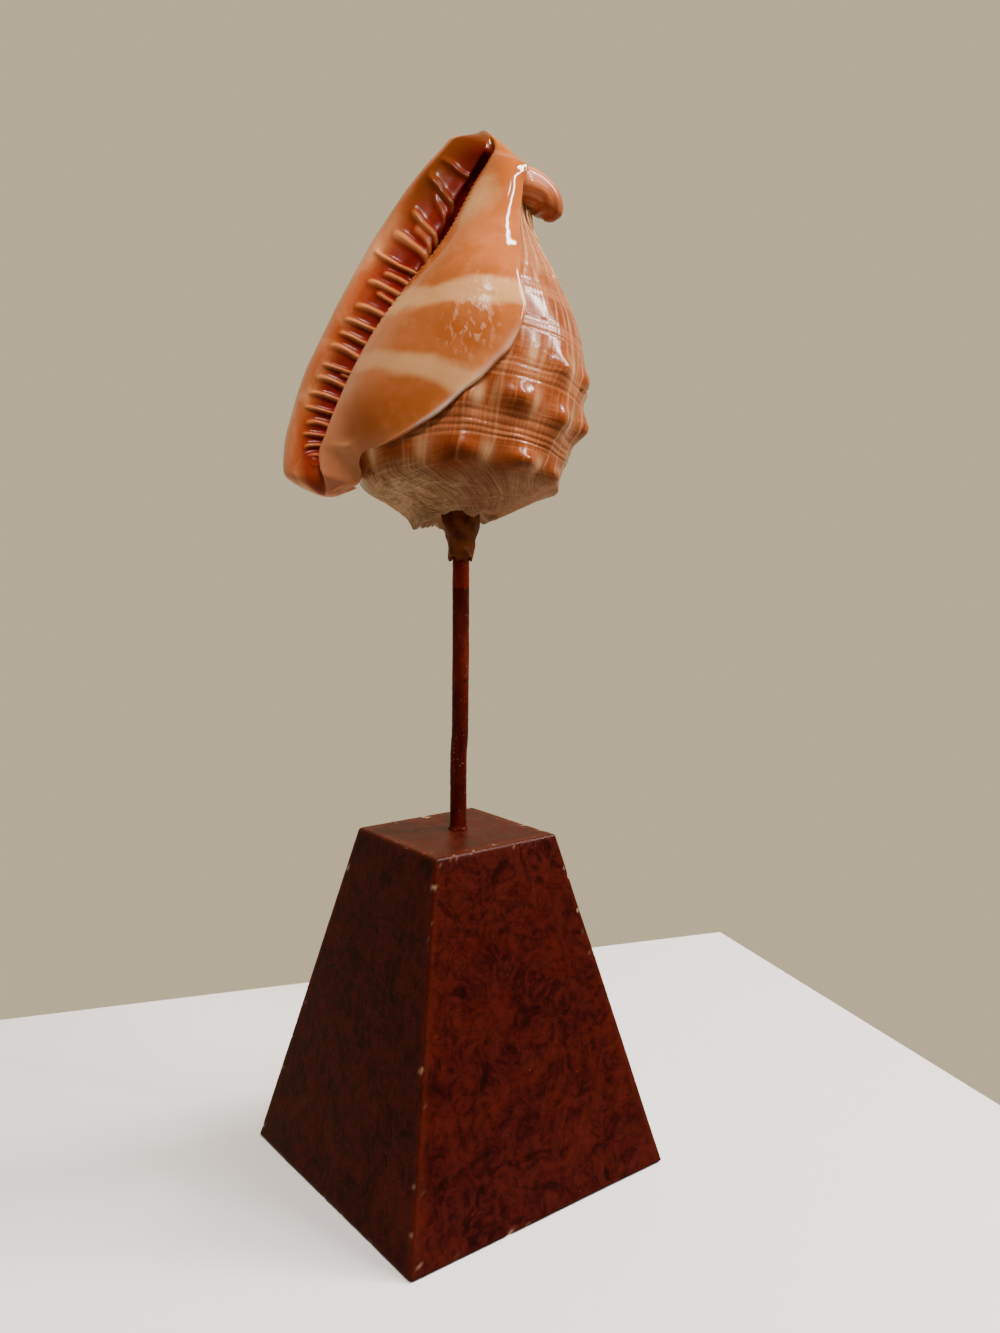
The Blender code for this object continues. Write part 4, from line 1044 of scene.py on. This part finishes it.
def make_putty():
    """Lumpy collar with a ragged foot, a skirt that meets the dowel and a closed top."""
    share = np.linspace(0, 1, PUTTY_ROWS)
    at = np.linspace(0, 1, len(PUTTY_RINGS))
    height, radius = (keyed(share, list(zip(at, column)))[:, None] for column in zip(*PUTTY_RINGS))
    a = np.linspace(0, 2 * math.pi, PUTTY_AROUND, endpoint=False)[None]
    row = share[:, None] * (len(PUTTY_RINGS) - 1)
    rough = 1 + 0.05 * np.sin(3 * a + row) + 0.035 * np.sin(5 * a + 2.2 * row)
    spot = side_by_side(np.cos(a) * 5, np.sin(a) * 5, height * 1000)
    rough = rough + 0.035 * waves(spot, 3.2, 81) + 0.015 * waves(spot, 1.1, 82)
    foot = ease((0.22 - share[:, None]) / 0.22)
    drop = 0.0006 * np.sin(4 * a + 0.6) + 0.0005 * np.sin(9 * a + 2) * foot
    x0, y0 = ROD_LINE[-1][:2]
    middle = np.array([x0, y0, 0])
    around = radius * rough
    grid = middle + side_by_side(around * np.cos(a), around * np.sin(a), height + drop * foot)
    reach = ROD_RADIUS + 0.0001
    skirt = middle + side_by_side(reach * np.cos(a), reach * np.sin(a), grid[:1, :, 2] + 0.0004)
    top = middle + (grid[-1:] - middle) * [0.05, 0.05, 1]
    values = {"foot": np.concatenate([[[1.0]], foot, [[0.0]]])}
    parts = [(np.concatenate([skirt, grid, top]), values, None)]
    return grid_piece("putty_collar", parts, "mounting_putty", putty_material())


def make_rod():
    """Painted dowel with a knot, a ring of paint on the block and a brighter upper end."""
    path = [(*ROD_LINE[0][:2], ROD_FOOT)] + list(ROD_LINE[1:])
    grid, ring, _, turn = tube_grid([(*p, ROD_RADIUS) for p in path], ROD_AROUND, ROD_RINGS)
    z, a = grid[..., 2], turn[None]
    spot = side_by_side(np.cos(a) * 3, np.sin(a) * 3, z * 1000)
    knot = bell(z - ROD_KNOT, 0.0009) * bell(np.arctan2(np.sin(a - 2.6), np.cos(a - 2.6)), 0.35)
    foot = bell(z - BLOCK_HEIGHT - 0.0002, 0.0007) * (0.6 + 0.4 * np.sin(5 * a + 1))
    lift = 0.00005 * waves(spot, 7, 91) + 0.00003 * waves(spot, 2, 92) + 0.0005 * knot + 0.0008 * foot
    values = {
        "band": ease((z - ROD_STEP - 0.0002 * np.sin(3 * a)) / 0.0003),
        "worn": bell(z - ROD_SCUFF, 0.006) + 0.25,
    }
    parts = [(grid + ring * lift[..., None], values, None)]
    return grid_piece("dowel_paint", parts, "rod", rod_material())


def block_outline():
    """Columns of the block: place between its corners, -1 to 1 both ways, and outward direction."""
    corners = ((1, 1), (-1, 1), (-1, -1), (1, -1))
    steps = []
    for k, (cx, cy) in enumerate(corners):
        for i in range(BLOCK_CORNER):
            a = math.pi / 2 * (k + i / (BLOCK_CORNER - 1))
            steps.append((cx, cy, math.cos(a), math.sin(a)))
        nx, ny = corners[(k + 1) % 4]
        end = math.pi / 2 * (k + 1)
        for i in range(1, BLOCK_SIDE):
            s = i / BLOCK_SIDE
            steps.append((cx + (nx - cx) * s, cy + (ny - cy) * s, math.cos(end), math.sin(end)))
    return np.array(steps).T


def block_layers():
    """Rows of the block from middle of underside to middle of top: height, share of width, rounding."""
    rows = [(0.0, share, 0.0) for share in (0.02, 0.3, 0.6, 0.85, 0.96)]
    rows += [(0.0, 1.0, out) for out in (0.0, 0.075, 0.15)]
    rows += [(z, 1.0, 1.0) for z in np.linspace(0.0006, BLOCK_HEIGHT - EDGE_ROUND, BLOCK_LAYERS)]
    for i in range(1, BLOCK_EDGE + 1):
        a = math.pi / 2 * i / BLOCK_EDGE
        rows.append((BLOCK_HEIGHT - EDGE_ROUND * (1 - math.sin(a)), 1.0, math.cos(a)))
    for share in (0.985, 0.96, 0.93, 0.88, 0.8, 0.7, 0.6, 0.5, 0.4, 0.3, 0.2, 0.1, 0.03):
        rows.append((BLOCK_HEIGHT, share, 0.0))
    return np.array(rows).T[..., None]


def make_block():
    """Tapered block as one skin: rounded corners, slightly uneven faces and chipped edges."""
    height, share, rounding = block_layers()
    cx, cy, nx, ny = block_outline()
    part = height / BLOCK_HEIGHT
    half_x = (BASE_X + (TOP_X - BASE_X) * part) / 2 - EDGE_ROUND
    half_y = (BASE_Y + (TOP_Y - BASE_Y) * part) / 2 - EDGE_ROUND
    r = EDGE_ROUND * rounding
    grid = side_by_side((cx * half_x + nx * r) * share, (cy * half_y + ny * r) * share, height)
    out = normals_of(grid)
    spot = grid * 1000
    x, y, z = np.moveaxis(spot, -1, 0)
    top = BLOCK_HEIGHT * 1000
    near = bell(np.maximum(1 - np.abs(cx), 1 - np.abs(cy)), 0.03) * (z < top - 0.5)
    level_edge = np.maximum(bell(z - top, 1.2), bell(z, 1.0)) * (share > 0.9)
    edge = np.clip(np.maximum(near, level_edge), 0, 1)
    nick = waves(spot, 9, 101) * 0.6 + waves(spot, 3.4, 102) * 0.6
    chip = ease((nick - 0.72) / 0.35) * edge
    tiny = ease((waves(spot, 1.8, 103) - 1.0) / 0.5) * edge
    lift = 0.10 * waves(spot, 40, 104) + 0.03 * waves(spot, 6, 105) - 0.55 * chip - 0.2 * tiny
    # Fine crack low on the left face
    crack = bell(z - (22 + 0.9 * np.sin(y / 2.3) - 0.15 * (y + 30)), 0.35)
    crack = crack * ease((-28 - y) / 3) * (x < -20) * (np.abs(y) < 50)
    lift = lift * (z > 0.3) - 0.25 * crack
    grid = grid + out * (lift * 0.001)[..., None]
    grid[..., 2] = np.clip(grid[..., 2], 0, BLOCK_HEIGHT)
    values = {
        "dust": ease((height - (BLOCK_HEIGHT - 0.0008)) / 0.0006),
        "chip": np.clip(chip + 0.8 * tiny, 0, 1), "edge": 0.35 * edge * (1 - chip),
    }
    return grid_piece("block_lacquer", [(grid, values, None)], "base_block", block_material())


surface = shell_material()
shell = grid_piece("shell_mask", [make_mask_part()], "shell", surface, FRAME)
body = grid_piece("shell_body", [make_body_part(), make_canal_part()], "shell", surface, FRAME)
putty = make_putty()
rod = make_rod()
block = make_block()


# Floor, light and camera
def floor_material():
    m = Mat("pale floor")
    return m.finish(m.coats(rgb("f3f1f6"), (m.span(m.noise(6, 2), 0.3, 0.7, 0, 0.06), "b8b2b0")), 0.5)


# Corners of the pale table top seen from above, and its thickness, metres
TABLE = ((-0.95, 0.517), (0.254, 0.092), (0.145, -0.265), (-0.095, -0.085), (-0.80, 0.43))
TABLE_THICK = 0.03
floor_mesh = bpy.data.meshes.new("floor")
floor_mesh.from_pydata([(x, y, z) for z in (0, -TABLE_THICK) for x, y in TABLE], [], [
    (4, 3, 2, 1, 0), (5, 6, 7, 8, 9), (0, 1, 6, 5), (1, 2, 7, 6), (2, 3, 8, 7), (3, 4, 9, 8), (4, 0, 5, 9)])
floor_mesh.materials.append(floor_material())
floor = bpy.data.objects.new("floor", floor_mesh)
floor.location.z = -0.0002
floor.visible_glossy = False
bpy.context.scene.collection.objects.link(floor)

# Beige wall behind the object, dimmer room around the rest
world = bpy.data.worlds.new("studio")
bpy.context.scene.world = world
world.use_nodes = True
tree = world.node_tree
around = add_node(tree, "ShaderNodeTexCoord", out="Generated")
toward_wall = add_node(
    tree, "ShaderNodeVectorMath", ((0, around), (1, view_axes()[1])), "Value", operation="DOT_PRODUCT")
strength = add_node(
    tree, "ShaderNodeMapRange",
    (("Value", toward_wall), ("From Min", 0.05), ("From Max", 0.75), ("To Min", 0.26), ("To Max", 1.15)),
    interpolation_type="SMOOTHSTEP")
fill(tree, tree.nodes["Background"], (("Color", rgb("c4b493")), ("Strength", strength)))

# Camera fitted to the photo: metres, radians, pixels and millimetres
CAMERA_AT = Vector((-0.2218, -0.3129, 0.2253))
PITCH, YAW, ROLL = -0.1135, -0.6577, -0.0035
FOCAL_PIXELS, PHOTO_HEIGHT, SENSOR = 1082.7, 1333.0, 36.0
TARGET = Vector((0.0, 0.0, 0.22))


def place_camera():
    ahead = Vector((-math.sin(YAW) * math.cos(PITCH), math.cos(YAW) * math.cos(PITCH), math.sin(PITCH)))
    right = Vector((math.cos(YAW), math.sin(YAW), 0))
    down = ahead.cross(right)
    c, s = math.cos(ROLL), math.sin(ROLL)
    across = c * right + s * down
    under = -s * right + c * down
    data = bpy.data.cameras.new("camera")
    data.sensor_width = SENSOR
    data.lens = FOCAL_PIXELS * SENSOR / PHOTO_HEIGHT
    data.clip_start = 0.01
    cam = bpy.data.objects.new("camera", data)
    cam.matrix_world = Matrix.Translation(CAMERA_AT) @ Matrix((across, -under, -ahead)).transposed().to_4x4()
    bpy.context.scene.collection.objects.link(cam)
    bpy.context.scene.camera = cam


def soft_light(name, right, toward, up, size, watts, tint, mirrored=True):
    """Area light placed by the photo's view: to its right, away from the viewer and up, in metres."""
    across, away = view_axes()
    data = bpy.data.lights.new(name, "AREA")
    data.shape = "RECTANGLE"
    data.size, data.size_y = size
    data.energy = watts
    data.color = rgb(tint)[:3]
    lamp = bpy.data.objects.new(name, data)
    lamp.location = TARGET + across * right + away * toward + Vector((0, 0, up))
    lamp.rotation_euler = (TARGET - lamp.location).to_track_quat("-Z", "Y").to_euler()
    lamp.visible_glossy = mirrored
    bpy.context.scene.collection.objects.link(lamp)


place_camera()
soft_light("key strip one", 1.00, 0.13, 0.97, (0.11, 0.8), 30, "fff8ef")
soft_light("key strip two", 0.90, -0.33, 0.95, (0.045, 0.7), 13, "fff8ef")
soft_light("window", 1.10, 0.0, 1.3, (0.9, 0.9), 9, "fff8ef", mirrored=False)
soft_light("overhead", 0.1, -0.75, 1.25, (0.9, 0.7), 8, "fff6ea", mirrored=False)
soft_light("overhead glint", 0.1, -0.75, 1.25, (0.26, 0.16), 22, "fff6ea")
soft_light("low fill", -1.2, -2.2, 0.7, (2.4, 1.8), 8, "f8f6ff", mirrored=False)
